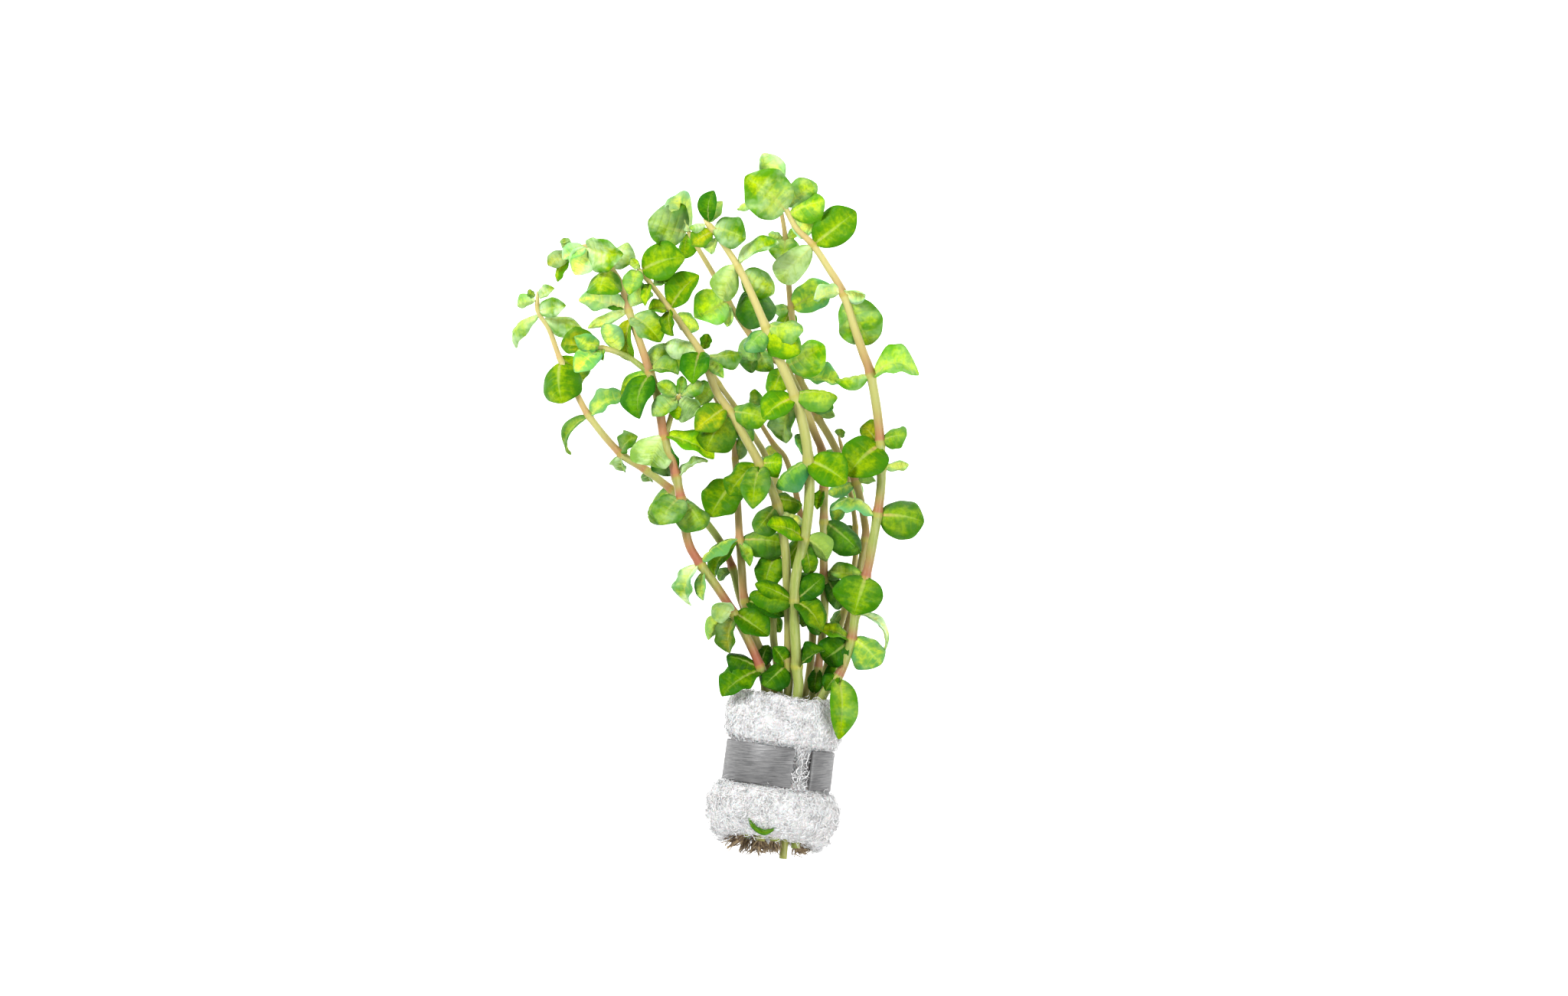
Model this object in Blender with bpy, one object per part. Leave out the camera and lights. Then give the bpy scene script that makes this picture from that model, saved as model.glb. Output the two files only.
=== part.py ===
"""A bunch of rotala, a leafy water plant, bound in filter wool and lying on a flat surface.

Lengths are metres. +Y runs from the bound foot to the growing tips, +X is to the right as one looks down on
the bunch, and the origin is on the surface, under the middle of the bunch.
"""
from math import cos, pi, radians, sin

import bmesh
import bpy
from mathutils import Quaternion, Vector
from mathutils.bvhtree import BVHTree

MM = 0.001
UP = Vector((0, 0, 1))

# Driving sizes
BUNCH_LENGTH = 175 * MM
STEM_RADIUS = 1.05 * MM
LEAF_THICKNESS = 0.5 * MM
BAND_WIDTH = 9.8 * MM
BAND_THICKNESS = 1.0 * MM
BAND_RADIUS = 13.65 * MM
PIECE_GAP = 0.3 * MM
TOUCH_HEIGHT = 0.05 * MM

# The bunch is traced as it is seen from straight above, in pixels from the picture's top left corner
TOP_PIXEL = 200
BOTTOM_PIXEL = 1118
VIEW_X = 1024
VIEW_Y = 650.5
ORIGIN_X = 935.5
ORIGIN_Y = 663.5
VIEW_HEIGHT = 1.0
MIDDLE_HEIGHT = 17 * MM
PIXEL = BUNCH_LENGTH / (BOTTOM_PIXEL - TOP_PIXEL) / (1 - MIDDLE_HEIGHT / VIEW_HEIGHT)

# The axis of the bound foot, from its cut end to the mouth of the wool
FOOT_END = (1003, 1105)
FOOT_END_HEIGHT = 14.8 * MM
FOOT_MOUTH = (1030, 902)
FOOT_MOUTH_HEIGHT = 13.3 * MM
ROLL_FLATNESS = 0.94

# Stations along the foot and radii of the wool there, from the cut end to the mouth
WOOL_OUTSIDE = (
    (0.2 * MM, 12.6 * MM),
    (2.5 * MM, 14.6 * MM),
    (6.5 * MM, 16.2 * MM),
    (10.5 * MM, 16.5 * MM),
    (14.2 * MM, 14.6 * MM),
    (15.0 * MM, 12.35 * MM),
    (25.6 * MM, 12.35 * MM),
    (26.4 * MM, 13.8 * MM),
    (31.0 * MM, 14.6 * MM),
    (35.5 * MM, 14.2 * MM),
    (38.6 * MM, 12.9 * MM),
)
WOOL_BORE = (
    (38.6 * MM, 11.7 * MM),
    (26.0 * MM, 7.2 * MM),
    (9.0 * MM, 7.2 * MM),
    (0.2 * MM, 11.0 * MM),
)
WOOL_SIDES = 20
# The rim at the cut end is drawn back on the upper side, as far as this, which fades out along the roll
WOOL_NOTCH = 2.8 * MM
NOTCH_LENGTH = 9 * MM
BAND_MIDDLE = 20.3 * MM
BAND_GAP_START = 15
BAND_GAP_END = 37
BAND_SIDES = 22

# Stations where the stems pass the waist and end
WAIST_STATIONS = (26 * MM, 13 * MM)
END_SPREAD = 1.25

STEM_SIDES = 5
STEM_STEP = 12 * MM
CURVE_STEPS = 12

# Steps along a leaf, as shares of its length, and its half width there, as a share of the full half width
LARGE_LEAF = ((0.0, 0.2), (0.14, 0.74), (0.44, 1.0), (0.77, 0.82))
SMALL_LEAF = ((0.0, 0.3), (0.3, 1.0), (0.72, 0.88))
TINY_LEAF = ((0.0, 0.35), (0.52, 1.0))
TINY_WIDTH = 31
LEAF_HOLLOW = 0.16
OWN_PIECE_AREA = 76 * MM * MM

# A leaf whose rise is DOWN reaches the surface with its tip
# How far a leaf may lift its tip and turn its face to miss what already lies there
DOWN = None
LIFTS = (0, 1.5, -1.5, 3, -3, 4.5, -4.5, 6, -6, 8, -8)
TURNS = (0, 18, -18, 36, -36)

# Each stem has the points it passes from tip to wool, its height at the tip, halfway and at the wool, its
# place across the waist, the station of its cut end, and its leaves. A leaf has its name, its foot and tip,
# how far its tip rises above its foot, its width, how far its face leans from the viewer, where a positive
# lean shows the upper side, and the bow of its midrib as a share of its length.
STEMS = {
    "a": {
        "path": (
            (702, 385), (703, 408), (717, 430), (732, 470), (752, 512), (771, 546), (809, 591), (845, 615),
            (880, 642), (913, 672), (941, 708), (957, 743), (967, 782), (984, 825), (997, 872), (1004, 905),
        ),
        "heights": (8.5, 9.5, 9.5),
        "waist": (-4.6, -2.6),
        "end": 1.2,
        "leaves": (
            ("bud_left", (702, 393), (675, 398), 2, 20, -25, 0.1),
            ("bud_right", (702, 388), (723, 376), 2, 16, 20, 0.1),
            ("bud_top", (702, 386), (690, 379), 1, 12, 20, 0.1),
            ("1_right", (705, 405), (739, 399), 3, 26, 10, 0.12),
            ("1_left", (702, 413), (667, 451), DOWN, 28, 55, 0.2),
            ("1_low", (708, 420), (764, 432), -1, 34, 35, 0.12),
            ("2_front", (733, 473), (734, 526), 2, 54, 5, 0.12),
            ("2_back", (731, 468), (764, 496), DOWN, 34, 10, 0.12),
            ("3_left", (767, 546), (741, 593), DOWN, 26, 60, 0.2),
            ("3_right", (774, 541), (818, 515), 1, 34, 35, 0.12),
            ("4_up", (812, 590), (830, 569), 3, 30, 40, 0.12),
            ("4_down", (812, 594), (815, 616), -3, 24, 40, 0.12),
            ("5_down", (845, 615), (851, 629), -3, 16, 40, 0.12),
            ("6_left", (878, 641), (845, 681), DOWN, 40, 40, 0.15),
            ("8_left", (955, 745), (937, 757), -2, 16, 30, 0.12),
        ),
    },
    "b": {
        "path": (
            (740, 331), (765, 322), (779, 327), (797, 350), (811, 371), (823, 411), (835, 445), (849, 487),
            (858, 515), (868, 573), (880, 610), (889, 650), (898, 705), (912, 733), (935, 765), (957, 799),
            (978, 838), (993, 872), (1000, 905),
        ),
        "heights": (23, 22, 16.5),
        "waist": (-5.0, 1.2),
        "end": 2.0,
        "leaves": (
            ("bud_up", (741, 330), (736, 311), 2, 15, 20, 0.1),
            ("bud_left", (741, 331), (715, 345), 1, 24, 20, 0.1),
            ("bud_low", (741, 333), (726, 368), -2, 16, 30, 0.2),
            ("1_left", (764, 322), (735, 337), 3, 26, 30, 0.12),
            ("1_front", (766, 324), (750, 360), 4, 36, -10, 0.12),
            ("1_right", (768, 321), (812, 333), 3, 46, 30, 0.12),
            ("2_front", (796, 350), (782, 384), 6, 46, 10, 0.12),
            ("2_back", (799, 350), (820, 316), -3, 30, 20, 0.12),
            ("3_right", (825, 414), (863, 446), 3, 42, 20, 0.15),
            ("3_low", (822, 418), (822, 474), 2, 32, 40, 0.12),
            ("3_left", (818, 400), (756, 389), 2, 34, -40, 0.1),
            ("3_up", (820, 402), (850, 378), 3, 30, -30, 0.12),
            ("3_back", (819, 402), (796, 390), -2, 24, 20, 0.12),
            ("4_front", (848, 490), (832, 544), 5, 50, 30, 0.12),
            ("4_left", (846, 488), (811, 515), 3, 30, 20, 0.12),
            ("4_right", (851, 484), (886, 488), 5, 34, 45, 0.12),
            ("5_front", (870, 569), (848, 610), 6, 54, -5, 0.1),
            ("5_back", (869, 577), (872, 623), -4, 36, 10, 0.12),
            ("5_right", (871, 570), (934, 596), 1, 32, 42, 0.12),
            ("5_sliver", (884, 622), (923, 599), 1, 24, 68, 0.1),
            ("6_left", (889, 652), (861, 683), 5, 46, 20, 0.12),
            ("6_right", (891, 654), (919, 691), 6, 45, 20, 0.12),
            ("7_left", (911, 736), (899, 791), -1, 34, 50, 0.24),
            ("7_right", (915, 730), (960, 700), 1, 28, 66, 0.08),
            ("7_low", (920, 745), (917, 784), 2, 18, 40, 0.12),
            ("8_right", (960, 800), (1004, 830), 3, 38, 20, 0.12),
            ("8_left", (954, 799), (928, 790), 6, 30, -20, 0.12),
            ("8_back", (955, 802), (923, 833), -2, 26, -45, 0.12),
            ("8_low", (956, 810), (952, 853), 1, 38, 45, 0.12),
            ("9_left", (991, 870), (950, 856), 2, 40, 38, 0.12),
            ("9_low", (993, 874), (942, 907), 4, 46, 20, 0.15),
            ("9_up", (994, 868), (1004, 842), -3, 26, 10, 0.12),
            ("4_back", (851, 484), (868, 447), 0, 36, 12, 0.12),
            ("3_under", (817, 404), (769, 425), -5, 16, -30, 0.1),
        ),
    },
    "c": {
        "path": (
            (833, 350), (848, 368), (874, 402), (898, 435), (915, 460), (935, 510), (952, 536), (975, 575),
            (992, 606), (1014, 656), (1025, 712), (1028, 760), (1030, 820), (1029, 872), (1029, 905),
        ),
        "heights": (26, 24, 17.5),
        "waist": (-1.6, 2.8),
        "end": 1.2,
        "leaves": (
            ("bud_up", (834, 351), (824, 337), 1, 12, 20, 0.1),
            ("1_right", (838, 352), (893, 335), 2, 52, 15, 0.12),
            ("1_low", (834, 352), (821, 383), 3, 27, 15, 0.12),
            ("1_small", (850, 372), (842, 397), 2, 15, 20, 0.12),
            ("1_side", (852, 374), (876, 362), 2, 15, 20, 0.12),
            ("2_right", (874, 400), (912, 359), 2, 40, 20, 0.12),
            ("2_left", (872, 404), (847, 402), 1, 26, 40, 0.12),
            ("2_low", (873, 406), (878, 438), 4, 26, 40, 0.12),
            ("2_back", (882, 415), (913, 430), -3, 25, 15, 0.12),
            ("3_front", (914, 462), (904, 499), 6, 40, 20, 0.12),
            ("3_right", (919, 466), (970, 460), 1, 32, 45, 0.0),
            ("3_small", (922, 470), (945, 493), 3, 16, 20, 0.12),
            ("3_left", (911, 459), (867, 448), -2, 30, 25, 0.12),
            ("3_back", (912, 462), (877, 482), -4, 32, -10, 0.12),
            ("4_front", (953, 540), (922, 588), 3, 54, 10, 0.12),
            ("4_right", (956, 536), (1001, 545), 3, 36, 20, 0.12),
            ("4_low", (957, 542), (985, 578), -3, 26, 20, 0.12),
            ("4_left", (948, 532), (908, 560), 0, 36, 15, 0.12),
            ("5_left", (989, 607), (951, 646), 2, 40, 40, 0.12),
            ("5_low", (990, 610), (983, 663), 2, 38, 8, 0.12),
            ("5_right", (995, 604), (1021, 603), 7, 34, 20, 0.12),
            ("6_left", (1013, 659), (987, 693), 4, 36, 15, 0.12),
            ("6_right", (1013, 650), (1049, 659), -3, 32, 30, 0.12),
            ("6_low", (1017, 670), (1049, 684), 1, 24, 45, 0.12),
            ("8_left", (1027, 870), (997, 896), 4, 38, 20, 0.12),
            ("8_up", (1026, 868), (1011, 845), 2, 24, 20, 0.12),
        ),
    },
    "d": {
        "path": (
            (898, 300), (912, 325), (930, 355), (950, 392), (968, 420), (980, 437), (1000, 462), (1025, 480),
            (1045, 518), (1064, 565), (1074, 592), (1076, 640), (1076, 682), (1076, 755), (1077, 795),
            (1072, 845), (1062, 905),
        ),
        "heights": (21, 18, 14.5),
        "waist": (3.3, 1.2),
        "end": -2.6,
        "leaves": (
            ("1_left", (898, 300), (847, 288), 2, 62, 5, 0.1),
            ("1_up", (902, 299), (881, 253), 2, 38, -15, 0.12),
            ("1_low", (899, 304), (893, 338), -2, 24, 20, 0.12),
            ("2_left", (948, 393), (908, 414), 4, 50, 5, 0.12),
            ("2_small", (951, 398), (949, 428), 3, 15, -20, 0.12),
            ("3_left", (984, 437), (977, 471), 4, 30, -15, 0.12),
            ("3_back", (985, 441), (979, 488), -2, 26, 20, 0.12),
            ("4_right", (1028, 478), (1076, 451), 2, 46, 10, 0.12),
            ("4_left", (1021, 482), (1008, 520), 4, 30, 20, 0.12),
            ("5_right", (1075, 592), (1092, 600), 2, 16, 20, 0.12),
            ("6_right", (1080, 681), (1124, 722), 1, 40, 12, 0.12),
            ("7_left", (1073, 757), (1044, 755), 5, 26, 20, 0.12),
            ("7_right", (1079, 757), (1099, 796), -2, 32, 20, 0.12),
            ("8_low", (1067, 872), (1063, 906), 1, 22, 20, 0.12),
            ("3_right", (990, 447), (1009, 485), -1, 28, 15, 0.12),
            ("5_low", (1074, 641), (1067, 665), 2, 15, 20, 0.1),
            ("7_up", (1081, 757), (1096, 740), 2, 20, 20, 0.12),
        ),
    },
    "e": {
        "path": (
            (922, 290), (935, 305), (962, 345), (982, 385), (1000, 427), (1018, 470), (1037, 515),
            (1050, 560), (1056, 602), (1057, 650), (1051, 702), (1040, 750), (1037, 786), (1038, 820),
            (1041, 874), (1042, 905),
        ),
        "heights": (31, 27, 19.5),
        "waist": (1.2, 3.9),
        "end": 1.6,
        "leaves": (
            ("bud_up", (921, 289), (930, 249), 2, 28, 30, 0.15),
            ("bud_back", (924, 290), (942, 263), -2, 18, -20, 0.12),
            ("bud_left", (922, 292), (901, 298), 2, 14, 20, 0.1),
            ("1_right", (931, 300), (974, 311), 2, 42, 15, 0.12),
            ("1_left", (930, 302), (903, 319), 1, 28, 25, 0.12),
            ("1_low", (938, 310), (925, 331), 3, 15, -20, 0.12),
            ("2_left", (960, 348), (943, 392), 3, 38, -20, 0.2),
            ("2_right", (965, 344), (1017, 316), 1, 34, 55, 0.1),
            ("2_back", (968, 357), (1013, 384), -4, 38, 10, 0.12),
            ("3_front", (1001, 430), (1044, 462), 3, 42, 15, 0.12),
            ("3_left", (998, 430), (975, 459), 5, 30, 20, 0.12),
            ("3_right", (1003, 425), (1048, 430), 1, 34, 30, 0.12),
            ("3_back", (998, 424), (971, 379), -3, 52, 5, 0.12),
            ("4_right", (1040, 513), (1094, 517), 1, 38, 46, 0.12),
            ("4_back", (1039, 517), (1090, 533), -5, 30, 10, 0.12),
            ("4_left", (1035, 518), (996, 546), 3, 38, 15, 0.12),
            ("4_low", (1038, 522), (1021, 576), -3, 36, 30, 0.12),
            ("5_right", (1059, 603), (1105, 629), 3, 48, 8, 0.12),
            ("5_left", (1054, 602), (1013, 635), 1, 38, 48, 0.15),
            ("5_up", (1055, 597), (1041, 566), -3, 20, 20, 0.12),
            ("6_left", (1050, 701), (1003, 685), 1, 38, 42, 0.12),
            ("6_right", (1053, 703), (1082, 730), 4, 36, -30, 0.12),
            ("6_low", (1048, 710), (1060, 751), -3, 22, 10, 0.12),
            ("7_left", (1035, 786), (981, 774), 1, 34, 45, 0.12),
            ("7_back", (1036, 783), (989, 762), -3, 24, 20, 0.12),
            ("7_right", (1040, 787), (1074, 823), 3, 38, 32, 0.2),
            ("7_up", (1040, 784), (1076, 752), -3, 32, 15, 0.12),
            ("7_low", (1040, 790), (1074, 828), -6, 28, 15, 0.12),
            ("8_right", (1043, 872), (1076, 848), 2, 30, 45, 0.12),
        ),
    },
    "f": {
        "path": (
            (1016, 258), (1022, 285), (1026, 312), (1028, 345), (1033, 402), (1038, 440), (1043, 490),
            (1055, 515), (1067, 543), (1083, 570), (1098, 598), (1118, 631), (1129, 680), (1130, 705),
            (1120, 760), (1112, 800), (1100, 840), (1085, 880), (1075, 905),
        ),
        "heights": (9.5, 9.5, 11),
        "waist": (3.6, -2.4),
        "end": 1.0,
        "leaves": (
            ("bud_left", (1016, 260), (996, 252), 0, 18, 20, 0.12),
            ("bud_right", (1018, 260), (1036, 244), 0, 20, 20, 0.12),
            ("1_left", (1025, 313), (1004, 305), 1, 16, 20, 0.12),
            ("1_right", (1027, 312), (1044, 302), 1, 14, 20, 0.12),
            ("1_front", (1026, 315), (1022, 345), 6, 38, 15, 0.12),
            ("1_under", (1027, 314), (1040, 345), DOWN, 28, 10, 0.12),
            ("2_right", (1035, 401), (1086, 373), 2, 44, 15, 0.12),
            ("2_left", (1031, 402), (1011, 406), 2, 20, 20, 0.12),
            ("2_under", (1034, 407), (1019, 442), DOWN, 28, 10, 0.12),
            ("3_right", (1046, 492), (1098, 499), 0, 38, 45, 0.06),
            ("4_right", (1069, 544), (1089, 537), 3, 20, -20, 0.12),
            ("5_right", (1119, 631), (1144, 627), 1, 16, -30, 0.12),
            ("5_left", (1116, 633), (1081, 645), 2, 20, 25, 0.1),
            ("8_low", (1094, 862), (1083, 906), 1, 26, 15, 0.12),
        ),
    },
    "g": {
        "path": (
            (1011, 247), (1018, 260), (1027, 274), (1040, 298), (1062, 320), (1082, 350), (1100, 380),
            (1115, 425), (1127, 460), (1137, 488), (1146, 540), (1150, 582), (1151, 630), (1146, 672),
            (1138, 720), (1130, 757), (1118, 800), (1112, 836), (1098, 878), (1076, 907),
        ),
        "heights": (26, 23, 18),
        "waist": (5.5, 0.4),
        "end": 0.4,
        "leaves": (
            ("bud_up", (1011, 248), (996, 200), 1, 34, -10, 0.12),
            ("bud_left", (1013, 252), (962, 273), -2, 26, 60, 0.12),
            ("1_front", (1027, 273), (975, 231), 2, 66, 3, 0.1),
            ("1_up", (1026, 270), (1067, 240), -2, 34, 15, 0.12),
            ("1_right", (1030, 279), (1077, 262), 1, 38, 20, 0.12),
            ("2_right", (1065, 319), (1118, 276), 2, 48, 8, 0.12),
            ("2_left", (1060, 321), (1017, 367), 2, 40, -15, 0.12),
            ("3_left", (1097, 382), (1062, 389), 3, 30, -48, 0.12),
            ("3_right", (1102, 384), (1131, 384), 4, 24, -45, 0.12),
            ("3_back", (1106, 388), (1138, 450), -3, 57, 5, 0.1),
            ("4_right", (1140, 490), (1200, 485), 1, 44, 36, 0.4),
            ("4_left", (1134, 490), (1090, 497), 2, 26, 55, 0.04),
            ("5_back", (1148, 580), (1126, 555), -3, 26, 15, 0.12),
            ("5_right", (1152, 575), (1184, 568), 4, 32, 25, 0.12),
            ("5_front", (1148, 583), (1108, 620), 4, 62, 5, 0.12),
            ("5_small", (1153, 612), (1187, 606), 0, 18, -50, 0.12),
            ("6_right", (1149, 671), (1207, 681), 1, 53, 8, 0.12),
            ("6_left", (1144, 671), (1085, 661), -1, 32, 66, 0.3),
            ("7_front", (1130, 754), (1115, 802), 4, 64, 5, 0.12),
            ("7_left", (1127, 757), (1083, 743), -3, 24, 20, 0.12),
            ("7_low", (1118, 800), (1160, 848), -1, 22, 66, 0.22),
            ("8_right", (1116, 832), (1151, 868), 2, 44, 12, 0.12),
            ("8_left", (1110, 835), (1069, 822), 1, 30, 58, 0.12),
            ("8_back", (1110, 838), (1074, 862), -4, 42, 10, 0.12),
            ("9_left", (1095, 882), (1078, 902), 2, 22, 20, 0.12),
            ("9_front", (1094, 886), (1097, 963), 7, 38, 10, 0.2),
            ("9_right", (1096, 890), (1112, 912), 1, 14, 20, 0.12),
            ("1_low", (1033, 286), (1061, 303), -2, 30, -15, 0.12),
        ),
    },
    "i": {
        "path": (
            (1096, 572), (1099, 583), (1103, 604), (1110, 640), (1117, 685), (1117, 730), (1109, 772),
            (1099, 812), (1084, 855), (1067, 905),
        ),
        "heights": (6, 5.8, 8),
        "waist": (1.4, -4.7),
        "end": 1.4,
        "leaves": (
            ("bud_up", (1096, 573), (1099, 560), 0, 14, 20, 0.12),
            ("1_left", (1101, 595), (1078, 606), DOWN, 28, 20, 0.12),
            ("2_right", (1106, 620), (1124, 652), DOWN, 28, 20, 0.12),
            ("3_left", (1117, 690), (1092, 726), DOWN, 30, 20, 0.12),
            ("2_left", (1112, 652), (1089, 684), 2, 22, 20, 0.12),
            ("4_left", (1102, 800), (1086, 816), 1, 20, 20, 0.12),
        ),
    },
    "j": {
        "path": (
            (930, 510), (945, 540), (957, 565), (962, 630), (966, 705), (969, 745), (972, 782), (985, 830),
            (1002, 870), (1012, 905),
        ),
        "heights": (15, 14.5, 13.5),
        "waist": (-2.3, -0.3),
        "end": 1.0,
        "leaves": (
            ("bud_left", (931, 512), (912, 500), 0, 18, 20, 0.12),
            ("1_right", (961, 600), (973, 566), 1, 20, 20, 0.12),
            ("2_left", (961, 628), (927, 675), 2, 53, 12, 0.12),
            ("3_right", (968, 705), (1031, 712), 1, 40, 28, 0.12),
            ("3_left", (964, 707), (929, 757), -1, 34, 42, 0.12),
            ("3_small", (968, 710), (980, 738), 3, 15, 20, 0.12),
            ("4_right", (974, 784), (1031, 803), -2, 40, 22, 0.12),
        ),
    },
    "m": {
        "path": (
            (983, 534), (997, 559), (1011, 581), (1028, 603), (1045, 670), (1054, 735), (1060, 800),
            (1061, 840), (1052, 905),
        ),
        "heights": (9, 9, 10.5),
        "waist": (0.7, -1.4),
        "end": 1.8,
        "leaves": (
            ("bud_up", (986, 531), (985, 508), 0, 18, 20, 0.12),
            ("1_left", (1014, 580), (1004, 628), -4, 30, 20, 0.12),
            ("3_left", (1050, 700), (1024, 742), -4, 30, 20, 0.12),
            ("4_left", (1059, 798), (1047, 818), 1, 20, 20, 0.12),
        ),
    },
    "n": {
        "path": (
            (915, 455), (926, 480), (940, 503), (958, 528), (975, 553), (988, 575), (998, 592), (1014, 630),
            (1022, 675), (1015, 725), (1010, 780), (1010, 830), (1018, 905),
        ),
        "heights": (17, 13, 10.5),
        "waist": (-1.9, -3.6),
        "end": 1.0,
        "leaves": (
            ("bud_up", (916, 457), (925, 436), 0, 16, 20, 0.12),
            ("1_left", (939, 502), (912, 530), -3, 28, 20, 0.12),
            ("3_low", (1015, 724), (998, 769), 3, 38, 12, 0.12),
            ("4_low", (1010, 802), (1019, 826), -1, 18, 20, 0.12),
        ),
    },
}

# The two side shoots leave stem b at a fork, and grow no roots
SHOOTS = {
    "b_left": {
        "fork": (849, 487),
        "path": ((779, 453), (800, 458), (822, 467)),
        "heights": (25, 24, 22),
        "leaves": (
            ("1_left", (781, 453), (732, 449), -1, 38, 22, 0.12),
            ("1_low", (782, 455), (751, 485), 3, 32, 15, 0.12),
            ("1_up", (781, 452), (752, 441), 2, 24, 10, 0.12),
            ("1_small", (788, 456), (787, 470), 3, 12, 20, 0.12),
            ("2_up", (808, 460), (789, 423), 2, 30, 20, 0.12),
        ),
    },
    "b_right": {
        "fork": (868, 573),
        "path": ((887, 517), (880, 532)),
        "heights": (27, 25, 22),
        "leaves": (
            ("1_left", (885, 519), (852, 542), 2, 30, 20, 0.12),
            ("1_low", (887, 521), (885, 547), 3, 22, 45, 0.12),
            ("1_right", (889, 518), (913, 538), -1, 34, -20, 0.12),
            ("1_up", (887, 518), (859, 500), 1, 22, 20, 0.12),
            ("1_far", (889, 517), (919, 500), 1, 22, 20, 0.12),
            ("1_top", (888, 517), (891, 491), 0, 15, 20, 0.12),
        ),
    },
}

# Short thick roots at the cut ends: stem, direction across the foot in degrees, and length
ROOTS = (
    ("a", 200, 2.6 * MM), ("b", 170, 2.0 * MM), ("j", 150, 2.4 * MM), ("j", 30, 2.2 * MM),
    ("c", 80, 2.4 * MM), ("c", 160, 2.0 * MM), ("g", 20, 2.8 * MM), ("g", 60, 2.6 * MM), ("f", 330, 3.0 * MM),
)
ROOT_RADIUS = 0.4 * MM

SCRAP_POINTS = ((979, 1069), (985, 1080), (998, 1087), (1012, 1083))
SCRAP_WIDTH = 1.5 * MM
SCRAP_THICKNESS = 0.5 * MM

STEM_COLOUR = (0.42, 0.50, 0.12)
LEAF_COLOUR = (0.16, 0.42, 0.03)
WOOL_COLOUR = (0.86, 0.87, 0.88)
METAL_COLOUR = (0.32, 0.33, 0.34)


def at(x, y, height):
    """The point that is seen at a pixel when it lies at this height above the surface."""
    scale = PIXEL * (1 - height / VIEW_HEIGHT)
    across = (x - VIEW_X) * scale + (VIEW_X - ORIGIN_X) * PIXEL
    along = (VIEW_Y - y) * scale + (ORIGIN_Y - VIEW_Y) * PIXEL
    return Vector((across, along, height))


FOOT_LOW = at(*FOOT_END, FOOT_END_HEIGHT)
FOOT_AXIS = (at(*FOOT_MOUTH, FOOT_MOUTH_HEIGHT) - FOOT_LOW).normalized()
FOOT_RIGHT = FOOT_AXIS.cross(UP).normalized()
FOOT_UP = FOOT_RIGHT.cross(FOOT_AXIS)


def in_foot(station, right, up):
    """A point of the bound foot, from its distance along the axis and across it."""
    return FOOT_LOW + FOOT_AXIS * station + FOOT_RIGHT * right + FOOT_UP * up


def smooth(points, steps):
    """Points of a smooth curve through the given points."""
    ends = [points[0] * 2 - points[1], *points, points[-1] * 2 - points[-2]]
    curve = []
    for before, start, end, after in zip(ends, ends[1:], ends[2:], ends[3:]):
        for step in range(steps):
            t = step / steps
            bend = (before * 2 - start * 5 + end * 4 - after) * t
            twist = (start * 3 - before - end * 3 + after) * t * t
            curve.append((start * 2 + (end - before + bend + twist) * t) / 2)
    curve.append(points[-1].copy())
    return curve


def evenly(points, step):
    """The same curve with points at equal distances, near the given step."""
    runs = [0.0]
    for start, end in zip(points, points[1:]):
        runs.append(runs[-1] + (end - start).length)
    count = max(2, round(runs[-1] / step))
    even = []
    place = 0
    for number in range(count + 1):
        wanted = runs[-1] * number / count
        while place < len(points) - 2 and runs[place + 1] < wanted:
            place += 1
        share = (wanted - runs[place]) / (runs[place + 1] - runs[place])
        even.append(points[place].lerp(points[place + 1], min(share, 1)))
    return even


def traced_path(points, heights):
    """The traced pixels as points in space, with heights that pass through the three given ones."""
    runs = [0.0]
    for start, end in zip(points, points[1:]):
        runs.append(runs[-1] + (Vector(end) - Vector(start)).length)
    tip, middle, foot = heights
    placed = []
    for (x, y), run in zip(points, runs):
        t = run / runs[-1]
        height = tip * (1 - t) * (1 - 2 * t) + middle * 4 * t * (1 - t) + foot * t * (2 * t - 1)
        placed.append(at(x, y, height * MM))
    return placed


def stem_line(stem):
    """The centre line of a stem from its growing tip to its cut end."""
    line = traced_path(stem["path"], stem["heights"])
    right, up = (value * MM for value in stem["waist"])
    for station in WAIST_STATIONS:
        line.append(in_foot(station, right, up))
    line.append(in_foot(stem["end"] * MM, right * END_SPREAD, up * END_SPREAD))
    return smooth(line, CURVE_STEPS)


def shoot_line(shoot, parent_line):
    """The centre line of a side shoot, which stops just short of its parent stem."""
    line = traced_path(shoot["path"], shoot["heights"])
    fork, to_tip = nearest_on(parent_line, shoot["fork"])
    away = (line[-1] - fork).normalized()
    spread = away.cross(to_tip).length
    line.append(fork + away * (STEM_RADIUS * 2 + PIECE_GAP) / spread)
    return smooth(line, CURVE_STEPS)


def nearest_on(line, pixel):
    """The point of a line that is seen nearest to a pixel, and the line's direction there, to its tip."""
    def distance(number):
        point = line[number]
        return (at(*pixel, point.z) - point).length

    best = min(range(1, len(line) - 1), key=distance)
    return line[best], (line[best - 1] - line[best + 1]).normalized()


def skin(rings, closed=False):
    """Corners and faces of a body that runs through rings of equal size, capped unless it closes on itself."""
    sides = len(rings[0])
    corners = [corner for ring in rings for corner in ring]
    faces = []
    for number in range(len(rings) if closed else len(rings) - 1):
        here = number * sides
        there = (number + 1) % len(rings) * sides
        for side in range(sides):
            after = (side + 1) % sides
            faces.append((here + side, here + after, there + after, there + side))
    if not closed:
        faces.append(tuple(reversed(range(sides))))
        faces.append(tuple(range(len(corners) - sides, len(corners))))
    return corners, faces


def pointed(rings, point):
    """A body that runs through rings and ends in a point."""
    corners, faces = skin(rings)
    sides = len(rings[0])
    last = len(corners) - sides
    faces.pop()
    corners.append(point)
    for side in range(sides):
        faces.append((last + side, last + (side + 1) % sides, len(corners) - 1))
    return corners, faces


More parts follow.
